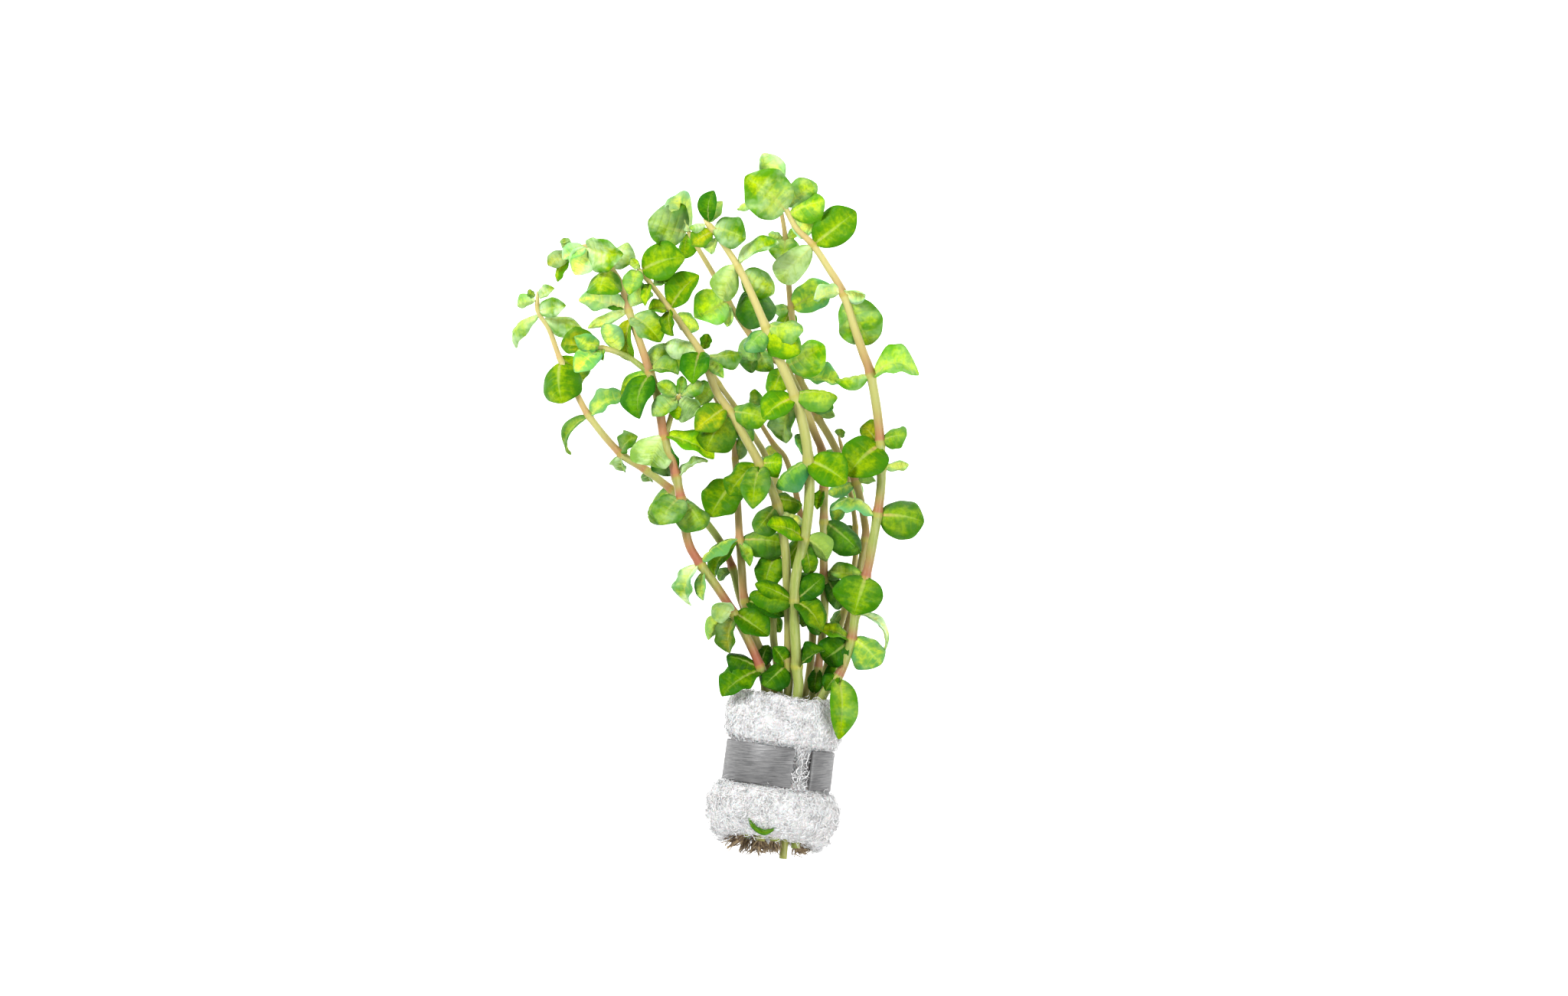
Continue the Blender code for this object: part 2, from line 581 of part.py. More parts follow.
def ring_round(centre, direction, start, radius, sides):
    """A ring of corners round a line."""
    first = (start - direction * start.dot(direction)).normalized() * radius
    ring = []
    for side in range(sides):
        ring.append(centre + Quaternion(direction, 2 * pi * side / sides) @ first)
    return ring


def tube(line, radius, sides):
    """A tube along a line, a little thinner at its growing tip."""
    rings = []
    for number, centre in enumerate(line):
        before = line[max(number - 1, 0)]
        after = line[min(number + 1, len(line) - 1)]
        narrowing = 0.7 if number == 0 else 1
        rings.append(ring_round(centre, (after - before).normalized(), UP, radius * narrowing, sides))
    return skin(rings)


def leaf_bodies(leaf, line, own_piece, lift, turn):
    """A leaf that is thick at its midrib and sharp at its margin, whole and without its foot."""
    name, foot, tip, rise, width, lean, bow = leaf
    centre, to_tip = nearest_on(line, foot)
    height = (TOUCH_HEIGHT if rise is DOWN else centre.z + rise * MM) + lift * MM
    point = at(*tip, height)
    away = point - centre
    away -= to_tip * away.dot(to_tip)
    if own_piece:
        centre = centre + away.normalized() * (STEM_RADIUS + PIECE_GAP + LEAF_THICKNESS / 2)
    blade = point - centre
    length = blade.length
    blade.normalize()
    view = (UP - blade * blade.z).normalized()
    upper = to_tip - blade * to_tip.dot(blade)
    turned = max(lean + turn, 0) if lean >= 0 else min(lean + turn, -1)
    side_of_turn = 1 if blade.dot(view.cross(upper)) >= 0 else -1
    face = Quaternion(blade, radians(turned) * side_of_turn) @ view
    shown = 1 if lean >= 0 else -1
    across = blade.cross(face)
    outline = LARGE_LEAF if own_piece else SMALL_LEAF if width > TINY_WIDTH else TINY_LEAF
    rings = []
    for share, half in outline:
        middle = centre + blade * length * share + face * shown * bow * length * 4 * share * (1 - share)
        reach = width * PIXEL / 2 * half
        margin = face * shown * LEAF_HOLLOW * reach
        rings.append((
            middle + across * reach - margin,
            middle + face * LEAF_THICKNESS / 2,
            middle - across * reach - margin,
            middle - face * LEAF_THICKNESS / 2,
        ))
    return pointed(rings, point), pointed(rings[1:], point)


def leaf_area(leaf):
    """The rough area of a leaf's blade."""
    name, foot, tip, rise, width, lean, bow = leaf
    height = (rise or 0) * MM
    length = Vector(((tip[0] - foot[0]) * PIXEL, (tip[1] - foot[1]) * PIXEL, height)).length
    return length * width * PIXEL


def root_body(line, direction, length):
    """A short root that tapers to a point, out of the cut end of a stem."""
    out = (line[-1] - line[-2]).normalized()
    sideways = FOOT_RIGHT * cos(radians(direction)) + FOOT_UP * sin(radians(direction))
    heading = (out + sideways * 0.7).normalized()
    start = line[-1] - out * 0.5 * MM + sideways * 0.2 * MM
    ring = ring_round(start, heading, UP, ROOT_RADIUS, 4)
    middle = ring_round(start + heading * length * 0.6 + out * 0.2 * MM, heading, UP, ROOT_RADIUS * 0.7, 4)
    return pointed((ring, middle), start + heading * length + out * 0.6 * MM)


def wool_body():
    """The roll of wool, with the bore that holds the stems."""
    profile = WOOL_OUTSIDE + WOOL_BORE
    rings = []
    for side in range(WOOL_SIDES):
        angle = 2 * pi * side / WOOL_SIDES
        notch = WOOL_NOTCH * max(cos(angle), 0) ** 0.5
        rings.append([
            in_foot(
                station + notch * max(1 - station / NOTCH_LENGTH, 0),
                radius * sin(angle),
                radius * cos(angle) * ROLL_FLATNESS,
            )
            for station, radius in profile
        ])
    return skin(rings, closed=True)


def band_body():
    """The strip round the waist of the wool, with its gap a little to the right of the front."""
    turn = radians(360 - BAND_GAP_END + BAND_GAP_START)
    low = BAND_MIDDLE - BAND_WIDTH / 2
    high = BAND_MIDDLE + BAND_WIDTH / 2
    inner = BAND_RADIUS - BAND_THICKNESS
    rings = []
    for side in range(BAND_SIDES + 1):
        angle = radians(BAND_GAP_END) + turn * side / BAND_SIDES
        rings.append([
            in_foot(station, radius * sin(angle), radius * cos(angle) * ROLL_FLATNESS)
            for station, radius in ((low, BAND_RADIUS), (high, BAND_RADIUS), (high, inner), (low, inner))
        ])
    return skin(rings)


def scrap_body(wool_tree):
    """A narrow scrap of leaf that lies bent on the wool."""
    above = 0.05
    rings = []
    for number, pixel in enumerate(SCRAP_POINTS):
        found = wool_tree.ray_cast(at(*pixel, above), at(*pixel, 0) - at(*pixel, above))
        middle = found[0] + UP * (PIECE_GAP + SCRAP_THICKNESS)
        ahead = SCRAP_POINTS[min(number + 1, len(SCRAP_POINTS) - 1)]
        behind = SCRAP_POINTS[max(number - 1, 0)]
        run = Vector((ahead[0] - behind[0], behind[1] - ahead[1], 0)).normalized()
        across = run.cross(UP) * SCRAP_WIDTH / 2
        if number in (0, len(SCRAP_POINTS) - 1):
            across = across * 0.4
        half = UP * SCRAP_THICKNESS / 2
        rings.append((middle + across, middle + half, middle - across, middle - half))
    return skin(rings)


def tree_of(body):
    """A search tree for finding what touches a body."""
    return BVHTree.FromPolygons(*body)


def settled(leaf, line, owner, placed, stem_trees):
    """The leaf as traced, or with the least lift and turn that keeps it clear of its neighbours.

    Leaves that grow out of the same stem may meet at their feet.
    """
    for turn in TURNS:
        for lift in LIFTS:
            body, blade = leaf_bodies(leaf, line, owner is None, lift, turn)
            if min(corner.z for corner in body[0]) < 0:
                continue
            tree = tree_of(body)
            if any(tree.overlap(other) for other in stem_trees):
                continue
            blade_tree = tree_of(blade)
            for other_owner, other, other_blade in placed:
                same_stem = owner is not None and owner == other_owner
                if blade_tree.overlap(other_blade) if same_stem else tree.overlap(other):
                    break
            else:
                placed.append((owner, tree, blade_tree))
                return body
    raise ValueError(f"leaf {leaf[0]} at {leaf[1]} has no free place")


def clear_scene():
    for thing in list(bpy.data.objects):
        bpy.data.objects.remove(thing, do_unlink=True)


def principled(name, colour, roughness, metallic=0.0):
    material = bpy.data.materials.new(name)
    material.use_nodes = True
    shader = material.node_tree.nodes["Principled BSDF"]
    shader.inputs["Base Color"].default_value = (*colour, 1)
    shader.inputs["Roughness"].default_value = roughness
    shader.inputs["Metallic"].default_value = metallic
    return material


def add_object(name, body, material):
    """An object whose own origin is the body's first corner."""
    corners, faces = body
    origin = corners[0].copy()
    mesh = bpy.data.meshes.new(name)
    mesh.from_pydata([corner - origin for corner in corners], [], faces)
    shape = bmesh.new()
    shape.from_mesh(mesh)
    bmesh.ops.recalc_face_normals(shape, faces=shape.faces)
    shape.to_mesh(mesh)
    shape.free()
    mesh.materials.append(material)
    thing = bpy.data.objects.new(name, mesh)
    thing.location = origin
    bpy.context.collection.objects.link(thing)
    return thing


def guide_object(name, body, material):
    """An object that only shapes another one."""
    guide = add_object(name, body, material)
    guide.hide_render = True
    guide.display_type = "WIRE"
    return guide


def grow(thing, name, body, material):
    """Make a body part of the thing that it grows out of."""
    growth = bpy.data.collections.get(f"growth_{thing.name}")
    if growth is None:
        growth = bpy.data.collections.new(f"growth_{thing.name}")
        bpy.context.scene.collection.children.link(growth)
        union = thing.modifiers.new("growth", "BOOLEAN")
        union.operation = "UNION"
        union.solver = "EXACT"
        union.operand_type = "COLLECTION"
        union.collection = growth
    guide = guide_object(name, body, material)
    bpy.context.collection.objects.unlink(guide)
    growth.objects.link(guide)


def cut_at_surface(thing, material):
    """Press the wool flat where it lies on the surface."""
    depth = 10 * MM
    half = 60 * MM
    middle = in_foot(BAND_MIDDLE, 0, 0)
    rings = []
    for height in (-depth, 0):
        rings.append([
            Vector((middle.x + side * half, middle.y + end * half, height))
            for side, end in ((-1, -1), (1, -1), (1, 1), (-1, 1))
        ])
    cutter = guide_object("surface_cutter", skin(rings), material)
    flat = thing.modifiers.new("flat", "BOOLEAN")
    flat.operation = "DIFFERENCE"
    flat.solver = "EXACT"
    flat.object = cutter


def build_foot():
    """The wool, its band and the scrap on it. Returns their search trees."""
    wool_material = principled("wool", WOOL_COLOUR, 0.9)
    wool = wool_body()
    cut_at_surface(add_object("wool_wrap", wool, wool_material), wool_material)
    band = band_body()
    add_object("metal_band", band, principled("metal", METAL_COLOUR, 0.5, 0.7))
    wool_tree = tree_of(wool)
    scrap = scrap_body(wool_tree)
    add_object("leaf_scrap", scrap, principled("scrap", LEAF_COLOUR, 0.5))
    return [wool_tree, tree_of(band), tree_of(scrap)]


def build_stems():
    """All stems and side shoots, without leaves yet. Returns each one's object, line and search tree."""
    material = principled("stem", STEM_COLOUR, 0.45)
    stems = {}
    for name, stem in STEMS.items():
        line = stem_line(stem)
        body = tube(evenly(line, STEM_STEP), STEM_RADIUS, STEM_SIDES)
        stems[name] = (add_object(f"stem_{name}", body, material), line, tree_of(body))
    for name, shoot in SHOOTS.items():
        line = shoot_line(shoot, stems["b"][1])
        body = tube(evenly(line, STEM_STEP / 2), STEM_RADIUS, STEM_SIDES)
        stems[name] = (add_object(f"shoot_{name}", body, material), line, tree_of(body))
    for number, (name, direction, length) in enumerate(ROOTS):
        thing, line, tree = stems[name]
        grow(thing, f"root_{number}", root_body(line, direction, length), material)
    return stems


def build_leaves(stems, foot_trees):
    """Every leaf, the large ones as pieces of their own and the small ones grown out of their stem."""
    material = principled("leaf", LEAF_COLOUR, 0.4)
    placed = [(None, tree, tree) for tree in foot_trees]
    for name, plant in (STEMS | SHOOTS).items():
        thing, line, own_tree = stems[name]
        for leaf in plant["leaves"]:
            own_piece = leaf_area(leaf) > OWN_PIECE_AREA
            stem_trees = [tree for other, (_, _, tree) in stems.items() if own_piece or other != name]
            body = settled(leaf, line, None if own_piece else name, placed, stem_trees)
            label = f"leaf_{name}_{leaf[0]}"
            if own_piece:
                add_object(label, body, material)
            else:
                grow(thing, label, body, material)


clear_scene()
foot = build_foot()
build_leaves(build_stems(), foot)
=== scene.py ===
from math import atan2, cos, pi, radians, sin

import bmesh
import bpy
import numpy as np
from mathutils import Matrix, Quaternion, Vector
from mathutils.bvhtree import BVHTree
from mathutils.kdtree import KDTree


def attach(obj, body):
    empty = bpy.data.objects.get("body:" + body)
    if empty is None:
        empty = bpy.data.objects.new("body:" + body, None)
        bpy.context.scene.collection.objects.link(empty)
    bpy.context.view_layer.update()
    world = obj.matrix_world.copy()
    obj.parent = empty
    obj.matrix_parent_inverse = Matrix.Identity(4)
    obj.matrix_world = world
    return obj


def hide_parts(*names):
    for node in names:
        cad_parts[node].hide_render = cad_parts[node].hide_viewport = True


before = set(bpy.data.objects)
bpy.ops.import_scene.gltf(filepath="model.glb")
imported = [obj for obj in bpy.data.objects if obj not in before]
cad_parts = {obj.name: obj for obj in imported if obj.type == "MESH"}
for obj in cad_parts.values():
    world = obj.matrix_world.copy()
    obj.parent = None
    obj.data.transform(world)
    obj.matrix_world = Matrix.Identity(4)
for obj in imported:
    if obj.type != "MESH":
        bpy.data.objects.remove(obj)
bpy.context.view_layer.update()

dice = np.random.default_rng(7)
mm = 0.001
up = Vector((0, 0, 1))

# the bunch lies as seen from straight above; its places are traced in pixels from the picture's top left
bunch = {
    "length": 175 * mm,
    "topPixel": 200,
    "bottomPixel": 1118,
    "viewPixel": (1024, 650.5),
    "originPixel": (935.5, 663.5),
    "viewHeight": 1.0,
    "middleHeight": 17 * mm,
    "pictureWidth": 2048,
    "stemRadius": 1.05 * mm,
    "cadLeafThickness": 0.5 * mm,
    "pieceGap": 0.3 * mm,
    "touchHeight": 0.05 * mm,
    "leafHollow": 0.16,
    "curveSteps": 12,
}
pixel = bunch["length"] / (bunch["bottomPixel"] - bunch["topPixel"])
pixel /= 1 - bunch["middleHeight"] / bunch["viewHeight"]  # one pixel's size at the surface

# the bound foot: its axis from the cut end to the mouth of the wool, and where the stems pass through it
foot = {
    "end": (1003, 1105),
    "endHeight": 14.8 * mm,
    "mouth": (1030, 902),
    "mouthHeight": 13.3 * mm,
    "flatness": 0.94,
    "waistStations": (26 * mm, 13 * mm),
    "endSpread": 1.25,
    "weldGap": 0.02 * mm,
}

# a leaf that is down reaches the surface with its tip; others may have lifted or turned to miss a neighbour
down = None
lifts = (0, 1.5, -1.5, 3, -3, 4.5, -4.5, 6, -6, 8, -8)
turns = (0, 18, -18, 36, -36)

# each stem: the pixels it passes from tip to wool, its heights at the tip, halfway and at the wool in mm, its
# place across the waist, the station of its cut end, and its leaves. A leaf: its name, the pixels of its foot
# and of its tip, the rise of its tip in mm and its width in pixels; then, where they aren't the usual ones,
# the lean of its face in degrees (below nothing it shows its underside) and its bow
usualLeaf = (20, 0.12)
stems = {
    "a": {
        "path": """
            702 385, 703 408, 717 430, 732 470, 752 512, 771 546, 809 591, 845 615, 880 642, 913 672,
            941 708, 957 743, 967 782, 984 825, 997 872, 1004 905
        """,
        "heights": (8.5, 9.5, 9.5), "waist": (-4.6, -2.6), "end": 1.2,
        "leaves": """
            bud_left 702 393 675 398 2 20 -25 0.1, bud_right 702 388 723 376 2 16 20 0.1,
            bud_top 702 386 690 379 1 12 20 0.1, 1_right 705 405 739 399 3 26 10,
            1_left 702 413 667 451 down 28 55 0.2, 1_low 708 420 764 432 -1 34 35,
            2_front 733 473 734 526 2 54 5, 2_back 731 468 764 496 down 34 10,
            3_left 767 546 741 593 down 26 60 0.2, 3_right 774 541 818 515 1 34 35,
            4_up 812 590 830 569 3 30 40, 4_down 812 594 815 616 -3 24 40, 5_down 845 615 851 629 -3 16 40,
            6_left 878 641 845 681 down 40 40 0.15, 8_left 955 745 937 757 -2 16 30
        """,
    },
    "b": {
        "path": """
            740 331, 765 322, 779 327, 797 350, 811 371, 823 411, 835 445, 849 487, 858 515, 868 573,
            880 610, 889 650, 898 705, 912 733, 935 765, 957 799, 978 838, 993 872, 1000 905
        """,
        "heights": (23, 22, 16.5), "waist": (-5.0, 1.2), "end": 2.0,
        "leaves": """
            bud_up 741 330 736 311 2 15 20 0.1, bud_left 741 331 715 345 1 24 20 0.1,
            bud_low 741 333 726 368 -2 16 30 0.2, 1_left 764 322 735 337 3 26 30,
            1_front 766 324 750 360 4 36 -10, 1_right 768 321 812 333 3 46 30,
            2_front 796 350 782 384 6 46 10, 2_back 799 350 820 316 -3 30,
            3_right 825 414 863 446 3 42 20 0.15, 3_low 822 418 822 474 2 32 40,
            3_left 818 400 756 389 2 34 -40 0.1, 3_up 820 402 850 378 3 30 -30,
            3_back 819 402 796 390 -2 24, 4_front 848 490 832 544 5 50 30, 4_left 846 488 811 515 3 30,
            4_right 851 484 886 488 5 34 45, 5_front 870 569 848 610 6 54 -5 0.1,
            5_back 869 577 872 623 -4 36 10, 5_right 871 570 934 596 1 32 42,
            5_sliver 884 622 923 599 1 24 68 0.1, 6_left 889 652 861 683 5 46, 6_right 891 654 919 691 6 45,
            7_left 911 736 899 791 -1 34 50 0.24, 7_right 915 730 960 700 1 28 66 0.08,
            7_low 920 745 917 784 2 18 40, 8_right 960 800 1004 830 3 38, 8_left 954 799 928 790 6 30 -20,
            8_back 955 802 923 833 -2 26 -45, 8_low 956 810 952 853 1 38 45, 9_left 991 870 950 856 2 40 38,
            9_low 993 874 942 907 4 46 20 0.15, 9_up 994 868 1004 842 -3 26 10,
            4_back 851 484 868 447 0 36 12, 3_under 817 404 769 425 -5 16 -30 0.1
        """,
    },
    "c": {
        "path": """
            833 350, 848 368, 874 402, 898 435, 915 460, 935 510, 952 536, 975 575, 992 606, 1014 656,
            1025 712, 1028 760, 1030 820, 1029 872, 1029 905
        """,
        "heights": (26, 24, 17.5), "waist": (-1.6, 2.8), "end": 1.2,
        "leaves": """
            bud_up 834 351 824 337 1 12 20 0.1, 1_right 838 352 893 335 2 52 15,
            1_low 834 352 821 383 3 27 15, 1_small 850 372 842 397 2 15, 1_side 852 374 876 362 2 15,
            2_right 874 400 912 359 2 40, 2_left 872 404 847 402 1 26 40, 2_low 873 406 878 438 4 26 40,
            2_back 882 415 913 430 -3 25 15, 3_front 914 462 904 499 6 40,
            3_right 919 466 970 460 1 32 45 0.0, 3_small 922 470 945 493 3 16,
            3_left 911 459 867 448 -2 30 25, 3_back 912 462 877 482 -4 32 -10,
            4_front 953 540 922 588 3 54 10, 4_right 956 536 1001 545 3 36, 4_low 957 542 985 578 -3 26,
            4_left 948 532 908 560 0 36 15, 5_left 989 607 951 646 2 40 40, 5_low 990 610 983 663 2 38 8,
            5_right 995 604 1021 603 7 34, 6_left 1013 659 987 693 4 36 15,
            6_right 1013 650 1049 659 -3 32 30, 6_low 1017 670 1049 684 1 24 45,
            8_left 1027 870 997 896 4 38, 8_up 1026 868 1011 845 2 24
        """,
    },
    "d": {
        "path": """
            898 300, 912 325, 930 355, 950 392, 968 420, 980 437, 1000 462, 1025 480, 1045 518, 1064 565,
            1074 592, 1076 640, 1076 682, 1076 755, 1077 795, 1072 845, 1062 905
        """,
        "heights": (21, 18, 14.5), "waist": (3.3, 1.2), "end": -2.6,
        "leaves": """
            1_left 898 300 847 288 2 62 5 0.1, 1_up 902 299 881 253 2 38 -15, 1_low 899 304 893 338 -2 24,
            2_left 948 393 908 414 4 50 5, 2_small 951 398 949 428 3 15 -20,
            3_left 984 437 977 471 4 30 -15, 3_back 985 441 979 488 -2 26,
            4_right 1028 478 1076 451 2 46 10, 4_left 1021 482 1008 520 4 30,
            5_right 1075 592 1092 600 2 16, 6_right 1080 681 1124 722 1 40 12,
            7_left 1073 757 1044 755 5 26, 7_right 1079 757 1099 796 -2 32, 8_low 1067 872 1063 906 1 22,
            3_right 990 447 1009 485 -1 28 15, 5_low 1074 641 1067 665 2 15 20 0.1,
            7_up 1081 757 1096 740 2 20
        """,
    },
    "e": {
        "path": """
            922 290, 935 305, 962 345, 982 385, 1000 427, 1018 470, 1037 515, 1050 560, 1056 602, 1057 650,
            1051 702, 1040 750, 1037 786, 1038 820, 1041 874, 1042 905
        """,
        "heights": (31, 27, 19.5), "waist": (1.2, 3.9), "end": 1.6,
        "leaves": """
            bud_up 921 289 930 249 2 28 30 0.15, bud_back 924 290 942 263 -2 18 -20,
            bud_left 922 292 901 298 2 14 20 0.1, 1_right 931 300 974 311 2 42 15,
            1_left 930 302 903 319 1 28 25, 1_low 938 310 925 331 3 15 -20,
            2_left 960 348 943 392 3 38 -20 0.2, 2_right 965 344 1017 316 1 34 55 0.1,
            2_back 968 357 1013 384 -4 38 10, 3_front 1001 430 1044 462 3 42 15,
            3_left 998 430 975 459 5 30, 3_right 1003 425 1048 430 1 34 30, 3_back 998 424 971 379 -3 52 5,
            4_right 1040 513 1094 517 1 38 46, 4_back 1039 517 1090 533 -5 30 10,
            4_left 1035 518 996 546 3 38 15, 4_low 1038 522 1021 576 -3 36 30,
            5_right 1059 603 1105 629 3 48 8, 5_left 1054 602 1013 635 1 38 48 0.15,
            5_up 1055 597 1041 566 -3 20, 6_left 1050 701 1003 685 1 38 42,
            6_right 1053 703 1082 730 4 36 -30, 6_low 1048 710 1060 751 -3 22 10,
            7_left 1035 786 981 774 1 34 45, 7_back 1036 783 989 762 -3 24,
            7_right 1040 787 1074 823 3 38 32 0.2, 7_up 1040 784 1076 752 -3 32 15,
            7_low 1040 790 1074 828 -6 28 15, 8_right 1043 872 1076 848 2 30 45
        """,
    },
    "f": {
        "path": """
            1016 258, 1022 285, 1026 312, 1028 345, 1033 402, 1038 440, 1043 490, 1055 515, 1067 543,
            1083 570, 1098 598, 1118 631, 1129 680, 1130 705, 1120 760, 1112 800, 1100 840, 1085 880,
            1075 905
        """,
        "heights": (9.5, 9.5, 11), "waist": (3.6, -2.4), "end": 1.0,
        "leaves": """
            bud_left 1016 260 996 252 0 18, bud_right 1018 260 1036 244 0 20, 1_left 1025 313 1004 305 1 16,
            1_right 1027 312 1044 302 1 14, 1_front 1026 315 1022 345 6 38 15,
            1_under 1027 314 1040 345 down 28 10, 2_right 1035 401 1086 373 2 44 15,
            2_left 1031 402 1011 406 2 20, 2_under 1034 407 1019 442 down 28 10,
            3_right 1046 492 1098 499 0 38 45 0.06, 4_right 1069 544 1089 537 3 20 -20,
            5_right 1119 631 1144 627 1 16 -30, 5_left 1116 633 1081 645 2 20 25 0.1,
            8_low 1094 862 1083 906 1 26 15
        """,
    },
    "g": {
        "path": """
            1011 247, 1018 260, 1027 274, 1040 298, 1062 320, 1082 350, 1100 380, 1115 425, 1127 460,
            1137 488, 1146 540, 1150 582, 1151 630, 1146 672, 1138 720, 1130 757, 1118 800, 1112 836,
            1098 878, 1076 907
        """,
        "heights": (26, 23, 18), "waist": (5.5, 0.4), "end": 0.4,
        "leaves": """
            bud_up 1011 248 996 200 1 34 -10, bud_left 1013 252 962 273 -2 26 60,
            1_front 1027 273 975 231 2 66 3 0.1, 1_up 1026 270 1067 240 -2 34 15,
            1_right 1030 279 1077 262 1 38, 2_right 1065 319 1118 276 2 48 8,
            2_left 1060 321 1017 367 2 40 -15, 3_left 1097 382 1062 389 3 30 -48,
            3_right 1102 384 1131 384 4 24 -45, 3_back 1106 388 1138 450 -3 57 5 0.1,
            4_right 1140 490 1200 485 1 44 36 0.4, 4_left 1134 490 1090 497 2 26 55 0.04,
            5_back 1148 580 1126 555 -3 26 15, 5_right 1152 575 1184 568 4 32 25,
            5_front 1148 583 1108 620 4 62 5, 5_small 1153 612 1187 606 0 18 -50,
            6_right 1149 671 1207 681 1 53 8, 6_left 1144 671 1085 661 -1 32 66 0.3,
            7_front 1130 754 1115 802 4 64 5, 7_left 1127 757 1083 743 -3 24,
            7_low 1118 800 1160 848 -1 22 66 0.22, 8_right 1116 832 1151 868 2 44 12,
            8_left 1110 835 1069 822 1 30 58, 8_back 1110 838 1074 862 -4 42 10,
            9_left 1095 882 1078 902 2 22, 9_front 1094 886 1097 963 7 38 10 0.2,
            9_right 1096 890 1112 912 1 14, 1_low 1033 286 1061 303 -2 30 -15
        """,
    },
    "i": {
        "path": """
            1096 572, 1099 583, 1103 604, 1110 640, 1117 685, 1117 730, 1109 772, 1099 812, 1084 855,
            1067 905
        """,
        "heights": (6, 5.8, 8), "waist": (1.4, -4.7), "end": 1.4,
        "leaves": """
            bud_up 1096 573 1099 560 0 14, 1_left 1101 595 1078 606 down 28,
            2_right 1106 620 1124 652 down 28, 3_left 1117 690 1092 726 down 30,
            2_left 1112 652 1089 684 2 22, 4_left 1102 800 1086 816 1 20
        """,
    },
    "j": {
        "path": """
            930 510, 945 540, 957 565, 962 630, 966 705, 969 745, 972 782, 985 830, 1002 870, 1012 905
        """,
        "heights": (15, 14.5, 13.5), "waist": (-2.3, -0.3), "end": 1.0,
        "leaves": """
            bud_left 931 512 912 500 0 18, 1_right 961 600 973 566 1 20, 2_left 961 628 927 675 2 53 12,
            3_right 968 705 1031 712 1 40 28, 3_left 964 707 929 757 -1 34 42, 3_small 968 710 980 738 3 15,
            4_right 974 784 1031 803 -2 40 22
        """,
    },
    "m": {
        "path": "983 534, 997 559, 1011 581, 1028 603, 1045 670, 1054 735, 1060 800, 1061 840, 1052 905",
        "heights": (9, 9, 10.5), "waist": (0.7, -1.4), "end": 1.8,
        "leaves": """
            bud_up 986 531 985 508 0 18, 1_left 1014 580 1004 628 -4 30, 3_left 1050 700 1024 742 -4 30,
            4_left 1059 798 1047 818 1 20
        """,
    },
    "n": {
        "path": """
            915 455, 926 480, 940 503, 958 528, 975 553, 988 575, 998 592, 1014 630, 1022 675, 1015 725,
            1010 780, 1010 830, 1018 905
        """,
        "heights": (17, 13, 10.5), "waist": (-1.9, -3.6), "end": 1.0,
        "leaves": """
            bud_up 916 457 925 436 0 16, 1_left 939 502 912 530 -3 28, 3_low 1015 724 998 769 3 38 12,
            4_low 1010 802 1019 826 -1 18
        """,
    },
}

# the two side shoots leave stem b at a fork
shoots = {
    "b_left": {
        "path": "779 453, 800 458, 822 467",
        "fork": (849, 487), "heights": (25, 24, 22),
        "leaves": """
            1_left 781 453 732 449 -1 38 22, 1_low 782 455 751 485 3 32 15, 1_up 781 452 752 441 2 24 10,
            1_small 788 456 787 470 3 12, 2_up 808 460 789 423 2 30
        """,
    },
    "b_right": {
        "path": "887 517, 880 532",
        "fork": (868, 573), "heights": (27, 25, 22),
        "leaves": """
            1_left 885 519 852 542 2 30, 1_low 887 521 885 547 3 22 45, 1_right 889 518 913 538 -1 34 -20,
            1_up 887 518 859 500 1 22, 1_far 889 517 919 500 1 22, 1_top 888 517 891 491 0 15
        """,
    },
}


def readLeaf(text):  # a leaf as the tables above list it
    name, *values = text.split()
    values = [down if value == "down" else float(value) for value in values]
    footX, footY, tipX, tipY, rise, width, lean, bow = (*values, *usualLeaf[len(values) - 6:])
    return name, (footX, footY), (tipX, tipY), rise, width, lean, bow


for plant in (stems | shoots).values():
    plant["path"] = [tuple(float(value) for value in spot.split()) for spot in plant["path"].split(",")]
    plant["leaves"] = [readLeaf(text) for text in plant["leaves"].split(",")]

# places in the bunch

def at(x, y, height):  # the point seen at a pixel when it lies this high above the surface
    scale = pixel * (1 - height / bunch["viewHeight"])
    viewX, viewY = bunch["viewPixel"]
    originX, originY = bunch["originPixel"]
    across = (x - viewX) * scale + (viewX - originX) * pixel
    along = (viewY - y) * scale + (originY - viewY) * pixel
    return Vector((across, along, height))


footLow = at(*foot["end"], foot["endHeight"])
footAxis = (at(*foot["mouth"], foot["mouthHeight"]) - footLow).normalized()
footRight = footAxis.cross(up).normalized()
footUp = footRight.cross(footAxis)


def inFoot(station, right, high):
    return footLow + footAxis * station + footRight * right + footUp * high


def smoothed(points, steps):  # a smooth curve through the points
    ends = [points[0] * 2 - points[1], *points, points[-1] * 2 - points[-2]]
    curve = []
    for before, start, end, after in zip(ends, ends[1:], ends[2:], ends[3:]):
        for step in range(steps):
            t = step / steps
            bend = (before * 2 - start * 5 + end * 4 - after) * t
            twist = (start * 3 - before - end * 3 + after) * t * t
            curve.append((start * 2 + (end - before + bend + twist) * t) / 2)
    return [*curve, points[-1].copy()]


def runsOf(points):  # how far along the line each point is
    return [0.0, *np.cumsum([(after - before).length for before, after in zip(points, points[1:])])]


def evenly(points, step):  # the same line with its points a step apart, and their runs
    runs = runsOf(points)
    wanted = np.linspace(0, runs[-1], max(2, round(runs[-1] / step)) + 1)
    columns = [np.interp(wanted, runs, [point[axis] for point in points]) for axis in range(3)]
    return [Vector(place) for place in zip(*columns)], wanted


def tracedPath(points, heights):
    runs = runsOf([Vector(point) for point in points])
    tip, middle, low = heights
    placed = []
    for (x, y), run in zip(points, runs):
        t = run / runs[-1]
        height = tip * (1 - t) * (1 - 2 * t) + middle * 4 * t * (1 - t) + low * t * (2 * t - 1)
        placed.append(at(x, y, height * mm))
    return placed


